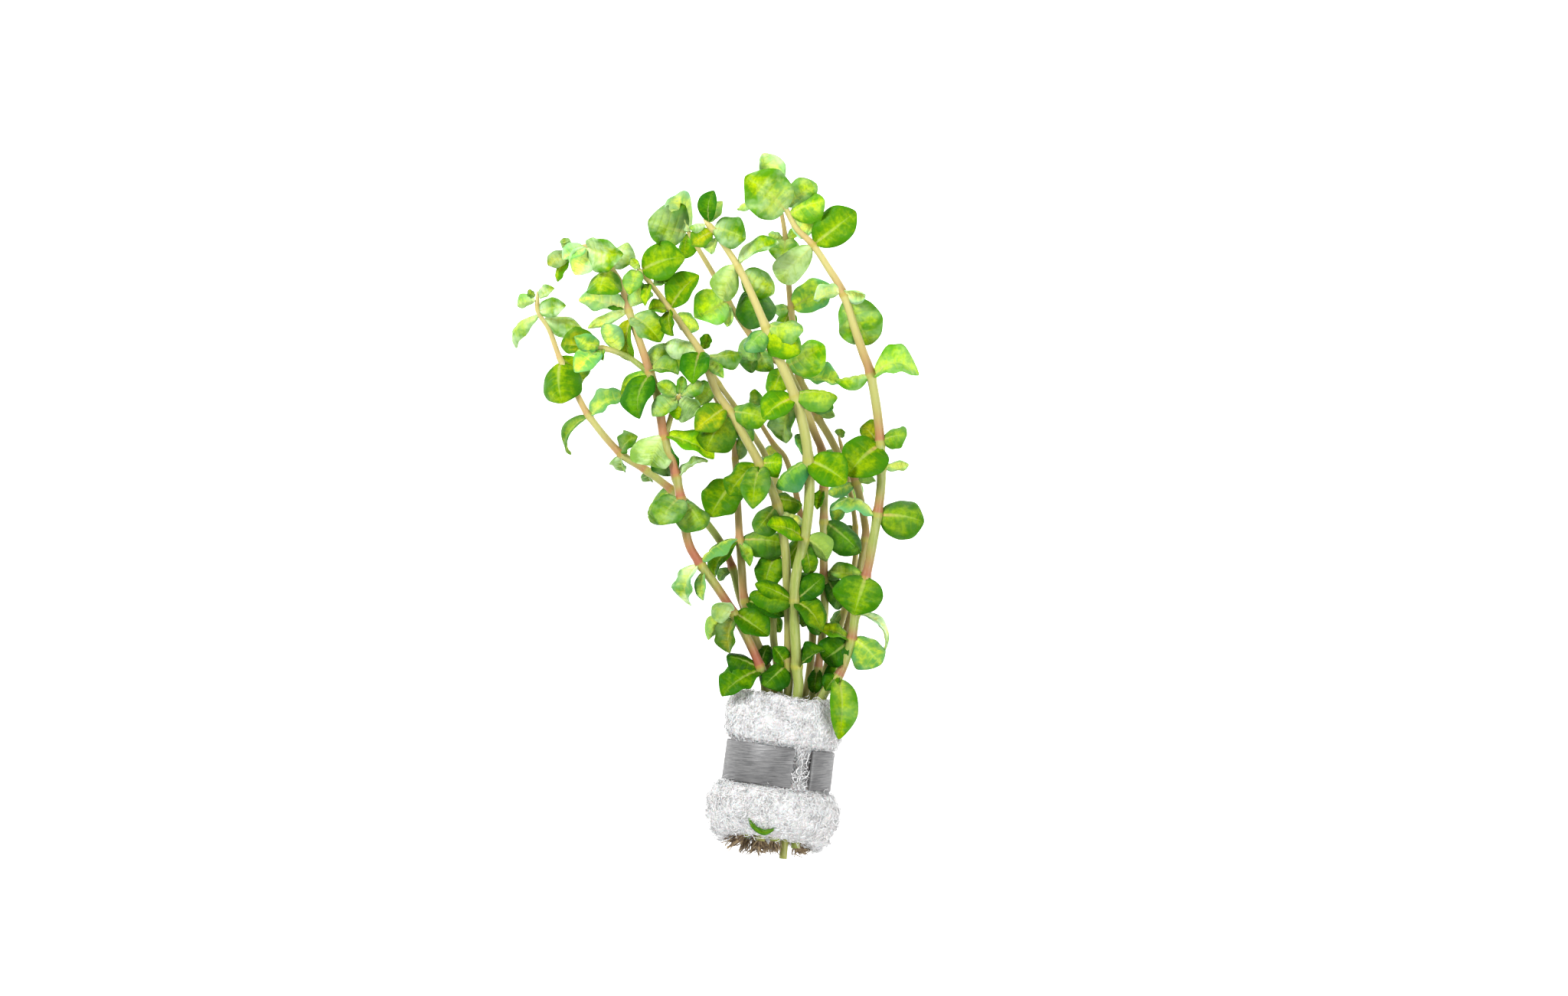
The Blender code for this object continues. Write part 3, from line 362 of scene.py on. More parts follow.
def stemLine(stem):
    right, high = (value * mm for value in stem["waist"])
    line = tracedPath(stem["path"], stem["heights"])
    line += [inFoot(station, right, high) for station in foot["waistStations"]]
    line.append(inFoot(stem["end"] * mm, right * foot["endSpread"], high * foot["endSpread"]))
    return smoothed(line, bunch["curveSteps"])


def shootLine(shoot, parentLine):  # ends a little short of its parent, as the solid does
    line = tracedPath(shoot["path"], shoot["heights"])
    fork, toTip = nearestOn(parentLine, shoot["fork"])
    away = (line[-1] - fork).normalized()
    line.append(fork + away * (bunch["stemRadius"] * 2 + bunch["pieceGap"]) / away.cross(toTip).length)
    return smoothed(line, bunch["curveSteps"])


def nearestOn(line, spot):  # the point of the line seen nearest to a pixel, and the way to the tip there
    best = min(range(1, len(line) - 1), key=lambda number: (at(*spot, line[number].z) - line[number]).length)
    return line[best], (line[best - 1] - line[best + 1]).normalized()


# what operators need

def only(*things):  # these are the selected objects, and the first is the active one
    bpy.ops.object.select_all(action="DESELECT")
    for thing in things:
        thing.select_set(True)
    bpy.context.view_layer.objects.active = things[0]


def newest(name):  # names what an operator has just made
    thing = bpy.context.object
    thing.name = thing.data.name = name
    return thing


def added(name, operator, **settings):
    bpy.ops.object.select_all(action="DESELECT")
    operator(**settings)
    return newest(name)


def edit(thing):  # with everything selected
    only(thing)
    bpy.ops.object.mode_set(mode="EDIT")
    bpy.ops.mesh.select_mode(type="VERT")
    bpy.ops.mesh.select_all(action="SELECT")


def done():
    bpy.ops.object.mode_set(mode="OBJECT")


def pick(thing, test):  # selects the corners that pass a test, with the edges and faces between them
    shape = bmesh.from_edit_mesh(thing.data)
    for corner in shape.verts:
        corner.select_set(bool(test(corner.co)))
    shape.select_flush(True)
    bmesh.update_edit_mesh(thing.data)


def weld(gap):  # joins corners this close together, turns the faces outwards and ends the editing
    bpy.ops.mesh.select_all(action="SELECT")
    bpy.ops.mesh.remove_doubles(threshold=gap)
    bpy.ops.mesh.normals_make_consistent(inside=False)
    done()


def finishWith(thing, kind, **settings):  # adds a modifier and applies it
    only(thing)
    modifier = thing.modifiers.new(kind.lower(), kind)
    for setting, value in settings.items():
        setattr(modifier, setting, value)
    bpy.ops.object.modifier_apply(modifier=modifier.name)


def cornersOf(thing):
    places = np.empty(len(thing.data.vertices) * 3)
    thing.data.vertices.foreach_get("co", places)
    return places.reshape(-1, 3)


def setCorners(thing, places):
    thing.data.vertices.foreach_set("co", np.asarray(places, float).ravel())
    thing.data.update()


def mark(thing, name, values):  # gives each corner a number or a colour for the material to read
    values = np.asarray(values, float)
    if values.ndim == 1:
        thing.data.attributes.new(name, "FLOAT", "POINT").data.foreach_set("value", values)
    else:
        colours = thing.data.color_attributes.new(name, "FLOAT_COLOR", "POINT")
        colours.data.foreach_set("color", values.ravel())


def treeOf(places):  # finds which place is nearest
    tree = KDTree(len(places))
    for number, place in enumerate(places):
        tree.insert(place, number)
    tree.balance()
    return tree


def joined(things, name):
    only(*things)
    if len(things) > 1:
        bpy.ops.object.join()
    return newest(name)


def stand(thing, slot, *nodes):  # the piece moves with the bunch and stands for its solids
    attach(thing, "root")
    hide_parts(*nodes)


# materials

def feed(made, sockets):  # sets a node's sockets; a colour is three shares or one grey
    for name, value in sockets.items():
        socket = made.inputs[name]
        if isinstance(value, bpy.types.NodeSocket):
            made.id_data.links.new(value, socket)
        elif socket.type == "RGBA":
            socket.default_value = (*value, 1) if isinstance(value, tuple) else (value, value, value, 1)
        else:
            socket.default_value = value


def plug(look, **values):  # sets the shader's sockets; a low line stands for a space
    shader = look.node_tree.nodes["Principled BSDF"]
    feed(shader, {name.replace("_", " "): value for name, value in values.items()})


def startLook(name, **values):
    look = bpy.data.materials.new(name)
    look.use_nodes = True
    plug(look, **values)
    return look


def source(tree, kind, sockets=None, **settings):  # adds a node and gives its outputs
    made = tree.nodes.new("ShaderNode" + kind)
    for setting, value in settings.items():
        setattr(made, setting, value)
    feed(made, sockets or {})
    return made.outputs


def node(kind, sockets, **settings):  # the same, in the material of the nodes that feed it
    tree = next(value.id_data for value in sockets.values() if isinstance(value, bpy.types.NodeSocket))
    return source(tree, kind, sockets, **settings)


def objectPlace(look):
    return source(look.node_tree, "TexCoord")["Object"]


def marked(look, name):  # what mark wrote under this name
    return source(look.node_tree, "Attribute", attribute_name=name)


def noise(place, scale, detail=3.0, roughness=0.55):
    sockets = {"Vector": place, "Scale": scale, "Detail": detail, "Roughness": roughness}
    return node("TexNoise", sockets)["Fac"]


def ramp(value, low, high, toLow=0.0, toHigh=1.0):  # a smooth step from low to high
    sockets = {"Value": value, "From Min": low, "From Max": high, "To Min": toLow, "To Max": toHigh}
    return node("MapRange", sockets, interpolation_type="SMOOTHSTEP")["Result"]


def figure(operation, first, second=0.0):
    return node("Math", {0: first, 1: second}, operation=operation)[0]


def times(first, second):
    return figure("MULTIPLY", first, second)


def farFrom(value, middle):
    return figure("ABSOLUTE", figure("SUBTRACT", value, middle))


def mixed(share, first, second, blend="MIX"):
    return node("Mix", {0: share, 6: first, 7: second}, data_type="RGBA", blend_type=blend)[2]


def bumped(look, height, strength, distance):
    plug(look, Normal=node("Bump", {"Height": height, "Strength": strength, "Distance": distance})["Normal"])


# leaves

leafForm = {
    "rows": 24,
    "columns": 10,
    "smallRows": 18,
    "smallColumns": 6,
    "veinEvery": 3,
    "fullest": 0.86,
    "roundness": 0.54,
    "tipPoint": 0.12,
    "footWidth": 0.2,
    "slant": 0.11,
    "thickness": 0.28 * mm,
    "marginShare": 0.4,
    "veinDepth": 0.8,
    "veinReach": 0.75,
    "ribDepth": 1.3,
    "ribEnd": 0.93,
    "groove": 0.62,
    "roof": 0.45,
    "dish": 0.42,
    "wave": 0.2,
    "ragged": 0.04,
    "lopsided": 0.12,
    "drift": 0.1,
    "twist": 0.7,
    "tipCurl": 1.2,
    "curlStart": 0.68,
    "footSunk": 0.6,
    "bendHeight": 1.5 * mm,
    "tinyWidth": 31,
    "youngUntil": 300,
    "ageing": 560,
    "youngTone": 1.1,
    "oldTone": 0.62,
    "leastTone": 0.85,
    "toneRange": 0.3,
    # how much painted sheen young and old leaves get at most
    "youngSheen": 0.75,
    "oldSheen": 0.3,
    "blush": 0.9,
    "usualBlush": 0.25,
}

# the last ring of each kind of leaf's solid: its share of the length and of the half width
solidRings = {"large": (0.77, 0.82), "small": (0.72, 0.88), "tiny": (0.52, 1.0)}


def spread(share):  # rows lie closer together near the foot and the tip, where the outline turns
    return np.where((share > 0) & (share < 1), 0.5 - np.cos(pi * share) / 2, share)


def halfWidth(along):
    if not 0 < along < 1:
        return leafForm["footWidth"] if along <= 0 else 0
    swell = sin(pi * along ** leafForm["fullest"]) ** leafForm["roundness"]
    swell *= 1 - leafForm["tipPoint"] * along ** 8
    return max(swell, leafForm["footWidth"]) if along < 0.5 else swell


def modelLeaf(name, rows, columns, materials):  # a flat leaf one long and two wide, one thick, grown along Y
    grid = {"x_subdivisions": columns, "y_subdivisions": rows, "size": 1, "location": (0, 0.5, 0)}
    leaf = added(name, bpy.ops.mesh.primitive_grid_add, **grid)
    bpy.ops.object.transform_apply(location=True, rotation=False, scale=False)
    edit(leaf)
    nearRow = 0.1 / rows
    for row in range(rows + 1):
        along = row / rows
        pick(leaf, lambda place: abs(place.y - along) < nearRow)
        bpy.ops.transform.resize(value=(2 * halfWidth(spread(along)), 1, 1), center_override=(0, along, 0))
    bpy.ops.mesh.select_all(action="SELECT")
    bpy.ops.mesh.remove_doubles(threshold=0.001)
    done()
    for material in materials:
        leaf.data.materials.append(material)
    finishWith(leaf, "SOLIDIFY", thickness=1, offset=0, material_offset=1, material_offset_rim=0)
    edit(leaf)
    pick(leaf, lambda place: abs(place.x) > 0.97 * halfWidth(spread(place.y)))
    bpy.ops.transform.resize(value=(1, 1, leafForm["marginShare"]), center_override=(0, 0, 0))
    for row in range(leafForm["veinEvery"], rows, leafForm["veinEvery"]):  # pairs of side veins
        along = row / rows
        reach = leafForm["veinReach"] * halfWidth(spread(along))
        pick(leaf, lambda place: abs(place.y - along) < nearRow and abs(place.x) < reach)
        bpy.ops.transform.translate(value=(0, 0, -leafForm["veinDepth"]))
    pick(leaf, lambda place: abs(place.x) < 0.01 and 0 < place.y < leafForm["ribEnd"])
    bpy.ops.transform.translate(value=(0, 0, -leafForm["ribDepth"]))
    done()
    bpy.ops.object.shade_smooth()
    leaf.hide_render = True
    return leaf


def leafPlace(leaf, line, own, lift, turn):  # where a leaf grows, as its solid was placed
    name, start, tip, rise, width, lean, bow = leaf
    stalk, toTip = nearestOn(line, start)
    height = (bunch["touchHeight"] if rise is down else stalk.z + rise * mm) + lift * mm
    point = at(*tip, height)
    away = point - stalk
    away = (away - toTip * away.dot(toTip)).normalized()
    offset = bunch["stemRadius"] + bunch["pieceGap"] + bunch["cadLeafThickness"] / 2 if own else 0
    centre = stalk + away * offset
    blade = point - centre
    length = blade.length
    blade.normalize()
    view = (up - blade * blade.z).normalized()
    upper = toTip - blade * toTip.dot(blade)
    turned = max(lean + turn, 0) if lean >= 0 else min(lean + turn, -1)
    side = 1 if blade.dot(view.cross(upper)) >= 0 else -1
    face = Quaternion(blade, radians(turned) * side) @ view
    top = face if lean >= 0 else -face  # the side that grows upwards
    return {
        "stalk": stalk, "away": away, "centre": centre, "point": point, "blade": blade, "length": length,
        "top": top, "across": blade.cross(top), "reach": width * pixel / 2, "bow": bow,
    }


def solidCorners(place, form):  # the corners that tell which lift and turn the solid has
    share, half = solidRings[form]
    bow = place["top"] * place["bow"] * place["length"] * 4 * share * (1 - share)
    middle = place["centre"] + place["blade"] * place["length"] * share + bow
    reach = place["reach"] * half
    sunk = middle - place["top"] * bunch["leafHollow"] * reach
    return place["point"], sunk + place["across"] * reach, sunk - place["across"] * reach


def settledPlace(leaf, line, own, form, tree, close=0.05 * mm):
    best = None
    for turn in turns:
        for lift in lifts:
            place = leafPlace(leaf, line, own, lift, turn)
            miss = sum(tree.find(corner)[2] for corner in solidCorners(place, form))
            if best is None or miss < best[0]:
                best = (miss, place)
            if miss < close:
                return place, True
    return best[1], False


def layLeaf(name, master, place, tint, blush, sheen):
    leaf = master.copy()
    leaf.data = master.data.copy()
    leaf.name = name
    leaf.hide_render = False
    bpy.context.collection.objects.link(leaf)
    across, row, depth = cornersOf(master).T
    along = spread(row)
    along = along + leafForm["slant"] * np.abs(across) * np.sin(pi * along)  # side veins point to the tip
    start = place["stalk"] + place["away"] * bunch["stemRadius"] * leafForm["footSunk"]
    blade = place["point"] - start
    length, reach = blade.length, place["reach"]
    wave, waves, phaseLeft, phaseRight, hollow, fold, twist, drift, curl, lop = dice.random(10)
    phase = np.where(across > 0, phaseRight, phaseLeft)
    ripple = np.sin(2 * pi * (along * (1.1 + 1.4 * waves) + phase))
    ripple = leafForm["wave"] * (0.4 + wave) * across ** 2 * ripple
    dish = leafForm["dish"] * (0.5 + hollow) * across ** 2
    groove = leafForm["groove"] * (0.5 + fold) if fold > 0.35 else -leafForm["roof"] * (1.2 - fold)
    groove = groove * (np.sqrt(across ** 2 + 0.01) - 0.1)
    turn = leafForm["twist"] * (twist - 0.5) * across * (along - 0.2)
    ragged = leafForm["ragged"] * np.sin(2 * pi * (along * (0.6 + 0.6 * waves) + phase * 3 + 0.3))
    across = across * (1 + ragged + leafForm["lopsided"] * (lop - 0.5) * 2 * np.sign(across))
    high = reach * (ripple - dish + groove + turn) + place["bow"] * 4 * along * (1 - along) * length
    high = high - leafForm["tipCurl"] * curl * length * np.maximum(along - leafForm["curlStart"], 0) ** 2
    high = high + depth * leafForm["thickness"]
    side = leafForm["drift"] * (drift - 0.5) * 2 * reach * np.sin(pi * along)
    places = np.outer(along, np.array(blade)) + np.array(start)
    places += np.outer(across * reach + side, np.array(place["across"]))
    places += np.outer(high, np.array(place["top"]))
    lowest, touch, bent = places[:, 2].min(), bunch["touchHeight"], leafForm["bendHeight"]
    if lowest < touch:  # a leaf that meets the surface lies down on it
        share = np.clip((places[:, 2] - lowest) / (bent - lowest), 0, 1)
        places[:, 2] = np.where(places[:, 2] < bent, touch + share * (bent - touch), places[:, 2])
    setCorners(leaf, places)
    mark(leaf, "tint", np.tile((*tint, blush), (len(places), 1)))
    # how much painted sheen the leaf's material lays on
    mark(leaf, "paintedSheen", np.full(len(places), sheen))
    return leaf


tints = {
    "fresh": (0.150, 0.268, 0.004),
    "lush": (0.071, 0.190, 0.001),
    "bright": (0.190, 0.360, 0.001),
    "deep": (0.040, 0.140, 0.003),
    "bluish": (0.070, 0.210, 0.045),
    "pale": (0.250, 0.420, 0.110),
    "white": (0.400, 0.560, 0.240),
    "dusky": (0.090, 0.185, 0.003),
    "olive": (0.150, 0.220, 0.008),
}

# the leaves that have another tone, painted sheen or blush than their place on the stem gives them; their
# tones are partly their own colour and partly painted light and shade, paler or darker as each leaf looks lit
toned = {
    "white": """b_1_front b_3_left b_3_under c_6_low d_1_up g_1_low g_3_left g_3_right g_5_small g_7_low
        i_2_right m_1_left""",
    "pale": """a_3_right a_bud_left b_1_left b_3_up b_7_left b_7_low b_7_right b_8_back b_8_left
        g_8_right b_left_1_low b_left_1_up b_left_2_up c_2_back d_2_small e_1_low e_bud_back f_2_right
        f_3_right f_5_left g_6_left g_bud_up i_2_left""",
    "olive": """b_3_low b_8_low b_bud_left b_bud_up b_left_1_left c_4_left e_1_left g_5_back""",
    "bluish": """b_right_1_right d_3_left e_3_left e_5_left e_5_up f_4_right f_5_right""",
    "dusky": """a_2_front c_1_right c_2_low c_3_right c_4_front c_5_left d_1_left e_1_right e_7_right
        g_2_left g_2_right""",
    "deep": """b_3_back b_4_front b_5_back b_9_left b_9_up c_3_front c_4_low c_8_left d_3_back d_6_right
        d_7_left d_7_right d_8_low e_3_back e_4_back e_7_low e_7_up e_8_right e_bud_up f_8_low g_8_back
        g_9_left j_4_right""",
    "bright": """b_4_left b_5_right b_right_1_low c_3_back c_3_small c_5_right d_1_low d_2_left
        d_4_right e_6_left g_7_left g_8_left g_9_front j_3_small g_4_right""",
}
toneOf = {leaf: tone for tone, leaves in toned.items() for leaf in leaves.split()}
# shining leaves get full painted sheen, matt ones none
shining = set("""a_1_low a_1_right a_4_down a_bud_left a_bud_right b_1_front b_1_right b_2_back b_3_left
        b_3_under b_5_front b_5_sliver b_7_left b_8_left c_3_left c_6_low d_1_up e_2_right e_bud_left
        g_1_low g_3_left g_3_right g_7_low g_bud_up""".split())
matt = set("""a_2_back a_2_front b_3_low b_4_front b_8_right b_9_left b_9_low c_1_right c_2_low
        c_2_right c_3_front c_4_left c_5_left e_1_left e_3_front e_4_left e_5_right e_6_left e_7_back
        e_7_low e_7_right e_7_up e_8_right e_bud_up f_8_low g_2_right g_5_back g_5_front g_8_right
        g_9_left j_2_left j_3_left j_4_right""".split())
blushing = set("""c_5_right j_3_right g_4_right g_5_front g_6_right b_3_left g_6_left e_4_left c_4_front
        c_3_front""".split())

leafTones = {
    "shade": (0.46, 0.78, 0.5),  # these three multiply the leaf's tint
    "light": (2.15, 1.6, 0.4),
    "cool": (0.35, 0.75, 1.5),
    # the pale colour of the painted sheen
    "paintedSheen": (0.66, 0.84, 0.50),
    "rib": (0.50, 0.60, 0.17),
    "pinkRib": (0.60, 0.28, 0.15),
    "under": (0.34, 0.46, 0.12),
    "glow": (0.6, 1.0, 0.1),
    "upperGloss": (0.36, 0.52),
    "underGloss": (0.5, 0.65),
}


def leafMaterial(name, underside):
    look = startLook(name, Subsurface_Weight=0.08, Subsurface_Scale=0.001, Specular_IOR_Level=0.04)
    plug(look, Subsurface_Radius=leafTones["glow"])
    place = objectPlace(look)
    tint = marked(look, "tint")
    shade, light, cool = (
        mixed(1.0, tint["Color"], leafTones[part], "MULTIPLY") for part in ("shade", "light", "cool")
    )
    uv = node("SeparateXYZ", {0: source(look.node_tree, "UVMap")["UV"]})
    along = uv["Y"]
    beside = farFrom(uv["X"], 0.5)  # nothing at the rib, a half at the edges
    inner = times(figure("SUBTRACT", 0.22, beside), 0.5)
    patches = ramp(figure("ADD", noise(place, 240, 3, 0.6), inner), 0.38, 0.66)
    colour = mixed(patches, shade, light)
    mottle = ramp(noise(place, 1100, 4, 0.7), 0.4, 0.64)
    colour = mixed(times(mottle, 0.5), colour, shade)
    # bluish margins and tip: partly the leaf's own darker margin, partly a painted sheen where the surface
    # turns away
    edge = figure("MAXIMUM", ramp(beside, 0.28, 0.5), ramp(along, 0.62, 1.0))
    cooling = ramp(noise(place, 160, 2), 0.42, 0.6, 0.1, 0.6)
    colour = mixed(times(edge, cooling), colour, cool)
    # painted sheen: pale whitish patches, more of them near the foot, stand for the leaves' gloss; each
    # leaf's sheen value sets how much
    sheenMask = ramp(noise(place, 180, 3, 0.6), 0.38, 0.68)
    nearFoot = times(ramp(along, 0.62, 0.08), ramp(beside, 0.5, 0.2))
    sheenMask = figure("MAXIMUM", times(sheenMask, 0.8), nearFoot)
    sheenMask = times(sheenMask, ramp(marked(look, "paintedSheen")["Fac"], 0.0, 1.0, 0.0, 0.7))
    colour = mixed(sheenMask, colour, leafTones["paintedSheen"])
    rows = figure("FRACT", times(along, leafForm["rows"] / leafForm["veinEvery"]))
    veins = ramp(farFrom(rows, 0.5), 0.3, 0.5)
    veins = times(veins, ramp(beside, 0.46, 0.05))
    colour = mixed(times(veins, 0.35), colour, light)
    ribWidth = ramp(along, 0.0, 1.0, 0.085, 0.01)
    rib = figure("SUBTRACT", 1.0, figure("DIVIDE", beside, ribWidth))
    rib = times(ramp(rib, 0.0, 0.8), ramp(along, 1.0, 0.1, 0.1, 0.6))
    ribTone = mixed(0.55, tint["Color"], leafTones["rib"])
    pink = times(tint["Alpha"], ramp(along, 0.6, 0.05))
    colour = mixed(rib, colour, mixed(pink, ribTone, leafTones["pinkRib"]))
    if underside:
        colour = mixed(0.3, colour, leafTones["under"])
    height = figure("SUBTRACT", noise(place, 1500, 2), times(veins, 0.8))
    bumped(look, height, 0.4, 0.0003)
    gloss = leafTones["underGloss" if underside else "upperGloss"]
    plug(look, Base_Color=colour, Roughness=ramp(noise(place, 500, 2), 0.3, 0.7, *gloss))
    return look


# stalks

stalkForm = {
    "step": 1.2 * mm,
    "swelling": 0.25,
    "swellingLength": 1.1 * mm,
    "tipShare": 0.55,
    "tipLength": 50 * mm,
    "tipReach": 1 * mm,
    "budLength": 2.4 * mm,
    "budShare": 0.2,
    "nodeGap": 5 * mm,
    "ringReach": 2 * mm,
    "sides": 3,
    "weldGap": 0.002 * mm,
}

# each stem: how red it grows towards its nodes, how brown it is, and its radius in mm at the foot
nature = {
    "a": (0.8, 0.05, 0.95), "b": (1.0, 0.35, 1.12), "c": (0.45, 0.4, 1.1), "d": (0.7, 0.4, 1.0),
    "e": (0.4, 0.1, 1.28), "f": (0.6, 0.85, 0.95), "g": (0.8, 0.1, 1.15), "i": (0.4, 0.6, 0.85),
    "j": (0.7, 0.75, 1.05), "m": (0.9, 0.8, 0.95), "n": (0.4, 0.3, 0.95), "b_left": (0.2, 0, 1.15),
    "b_right": (1.0, 0.5, 1.1),
}
bareNodes = {"a": ((913, 671), (975, 805)), "f": ((1130, 705),)}  # nodes whose leaves are gone


def nodeRuns(plant, line, name):  # how far down the line its nodes are
    runs = runsOf(line)
    spots = [leaf[1] for leaf in plant["leaves"]] + list(bareNodes.get(name, ()))
    found = sorted(runs[line.index(nearestOn(line, spot)[0])] for spot in spots)
    groups = [[found[0]]]
    for run in found[1:]:
        if run - groups[-1][-1] < stalkForm["nodeGap"]:
            groups[-1].append(run)
        else:
            groups.append([run])
    return [sum(group) / len(group) for group in groups]


def tubeAlong(name, line, radii, sides):
    thing = added(name, bpy.ops.curve.primitive_bezier_curve_add)
    curve = thing.data
    curve.splines.clear()
    spline = curve.splines.new("POLY")
    spline.points.add(len(line) - 1)
    for point, place, radius in zip(spline.points, line, radii):
        point.co = (*place, 1)
        point.radius = radius
    curve.dimensions = "3D"
    curve.bevel_depth = 1
    curve.bevel_resolution = sides
    curve.use_fill_caps = True
    only(thing)
    bpy.ops.object.convert(target="MESH")
    thing = newest(name)
    edit(thing)
    weld(stalkForm["weldGap"])
    bpy.ops.object.shade_smooth()
    return thing


def growStalk(name, plant, line, material):
    redness, browning, girth = nature[name]
    line = [line[0] + (line[0] - line[1]).normalized() * stalkForm["tipReach"], *line]
    points, runs = evenly(line, stalkForm["step"])
    nodes = nodeRuns(plant, line, name)
    radii = []
    values = []
    for run in runs:
        swell = max(np.exp(-((run - place) / stalkForm["swellingLength"]) ** 2) for place in nodes)
        grown = min(1, run / stalkForm["tipLength"])
        share = stalkForm["tipShare"] + (1 - stalkForm["tipShare"]) * grown
        share *= max(min(1, run / stalkForm["budLength"]) ** 0.5, stalkForm["budShare"])  # the tip is rounded
        radii.append(girth * mm * share * (1 + stalkForm["swelling"] * swell))
        above = max((place for place in nodes if place <= run), default=0.0)
        below = min((place for place in nodes if place > run), default=2 * runs[-1])
        flush = (run - above) / (below - above) * redness
        ringAt = min(abs(run - place) for place in nodes)
        values.append((flush, run / runs[-1], min(ringAt / stalkForm["ringReach"], 1), browning))
    stalk = tubeAlong(f"stalk_{name}", points, radii, stalkForm["sides"])
    tree = treeOf(points)
    mark(stalk, "growth", [values[tree.find(corner)[1]] for corner in cornersOf(stalk)])
    stalk.data.materials.append(material)
    return stalk


# young and red go from the growing tip to the foot
stalkTones = {
    "young": ((0.46, 0.405, 0.15), (0.195, 0.260, 0.048)),
    "red": ((0.38, 0.155, 0.075), (0.25, 0.08, 0.042)),
    "brown": (0.25, 0.16, 0.05),
    "streak": (0.36, 0.35, 0.13),
    "ring": (0.33, 0.29, 0.03),
    "glow": (1.0, 0.7, 0.25),
}


def stalkMaterial():
    look = startLook("stalk", Subsurface_Weight=0.15, Subsurface_Scale=0.001, Specular_IOR_Level=0.3)
    plug(look, Subsurface_Radius=stalkTones["glow"])
    place = objectPlace(look)
    growth = marked(look, "growth")
    parts = node("SeparateColor", {0: growth["Color"]})  # flush, share of the length, ring
    colour = mixed(ramp(parts["Green"], 0.08, 0.55), *stalkTones["young"])
    colour = mixed(times(growth["Alpha"], 0.75), colour, stalkTones["brown"])
    lengthwise = node("Mapping", {"Vector": place, "Scale": (1, 0.15, 1)})["Vector"]
    streak = ramp(noise(lengthwise, 1800, 3), 0.35, 0.7)
    colour = mixed(times(streak, 0.3), colour, stalkTones["streak"])
    red = mixed(ramp(parts["Green"], 0.1, 0.7), *stalkTones["red"])
    flush = times(ramp(parts["Red"], 0.25, 0.85), ramp(parts["Green"], 0.0, 0.5, 0.3, 1.0))
    colour = mixed(flush, colour, red)
    ring = ramp(parts["Blue"], 0.5, 0.1)
    colour = mixed(times(ring, 0.5), colour, stalkTones["ring"])
    bumped(look, streak, 0.3, 0.0002)
    plug(look, Base_Color=colour, Roughness=ramp(noise(place, 700, 2), 0.3, 0.7, 0.35, 0.5))
    return look


# short roots at the cut ends: the pixels that each stem's roots reach
roots = {
    "a": ((968, 1112), (971, 1106), (962, 1101)),
    "b": ((957, 1103), (949, 1106), (953, 1097)),
    "j": ((978, 1113), (984, 1110), (990, 1112)),
    "c": ((994, 1111), (1000, 1113), (988, 1108)),
    "n": ((998, 1110), (1004, 1113)),
    "m": ((1008, 1112), (1013, 1110)),
    "e": ((1017, 1112), (1012, 1108)),
    "g": ((1040, 1113), (1046, 1111), (1052, 1112), (1058, 1107)),
}
rootDice = np.random.default_rng(31)
rootForm = {
    "strands": 11,
    "scatter": 3.0,
    "thick": 0.22 * mm,
    "thin": 0.09 * mm,
    "droop": 3 * mm,
    "tangle": 0.5 * mm,
    "dark": (0.07, 0.04, 0.02),
    "light": (0.25, 0.175, 0.08),
}


def rootMaterial():
    look = startLook("root")
    grain = ramp(noise(objectPlace(look), 1600, 4), 0.35, 0.65)
    bumped(look, grain, 0.4, 0.0002)
    colour = mixed(grain, rootForm["dark"], rootForm["light"])
    plug(look, Base_Color=colour, Roughness=ramp(grain, 0.0, 1.0, 0.65, 0.45))
    return look


def growRoot(name, line, spot, material):
    start = line[-1] + (line[-2] - line[-1]).normalized() * mm
    x, y = np.array(spot) + rootDice.normal(0, rootForm["scatter"], 2)
    end = at(x, y, max(start.z - rootForm["droop"] * rootDice.random(), 2 * rootForm["thick"]))
    middle = (start + end) / 2 + (line[-1] - line[-2]).normalized() * mm * rootDice.random()
    middle += Vector(rootDice.normal(0, rootForm["tangle"], 3))
    points = smoothed([start, middle, end], 4)
    root = tubeAlong(name, points, np.linspace(rootForm["thick"], rootForm["thin"], len(points)), 1)
    root.data.materials.append(material)
    return root


def leafLook(label, low):  # a leaf's tint, blush and painted sheen; lower leaves are darker and get less painted sheen
    age = min(max((low - leafForm["youngUntil"]) / leafForm["ageing"], 0), 1)
    tint = Vector(tints["fresh"]).lerp(Vector(tints["lush"]), age)
    if label in toneOf:
        tint = Vector(tints[toneOf[label]])
    tint *= leafForm["youngTone"] + (leafForm["oldTone"] - leafForm["youngTone"]) * age
    tint *= leafForm["leastTone"] + leafForm["toneRange"] * dice.random()
    sheen = leafForm["youngSheen"] + (leafForm["oldSheen"] - leafForm["youngSheen"]) * age
    sheen *= dice.random()
    sheen = 1.0 if label in shining else 0.0 if label in matt else sheen
    return tint, leafForm["blush" if label in blushing else "usualBlush"], sheen


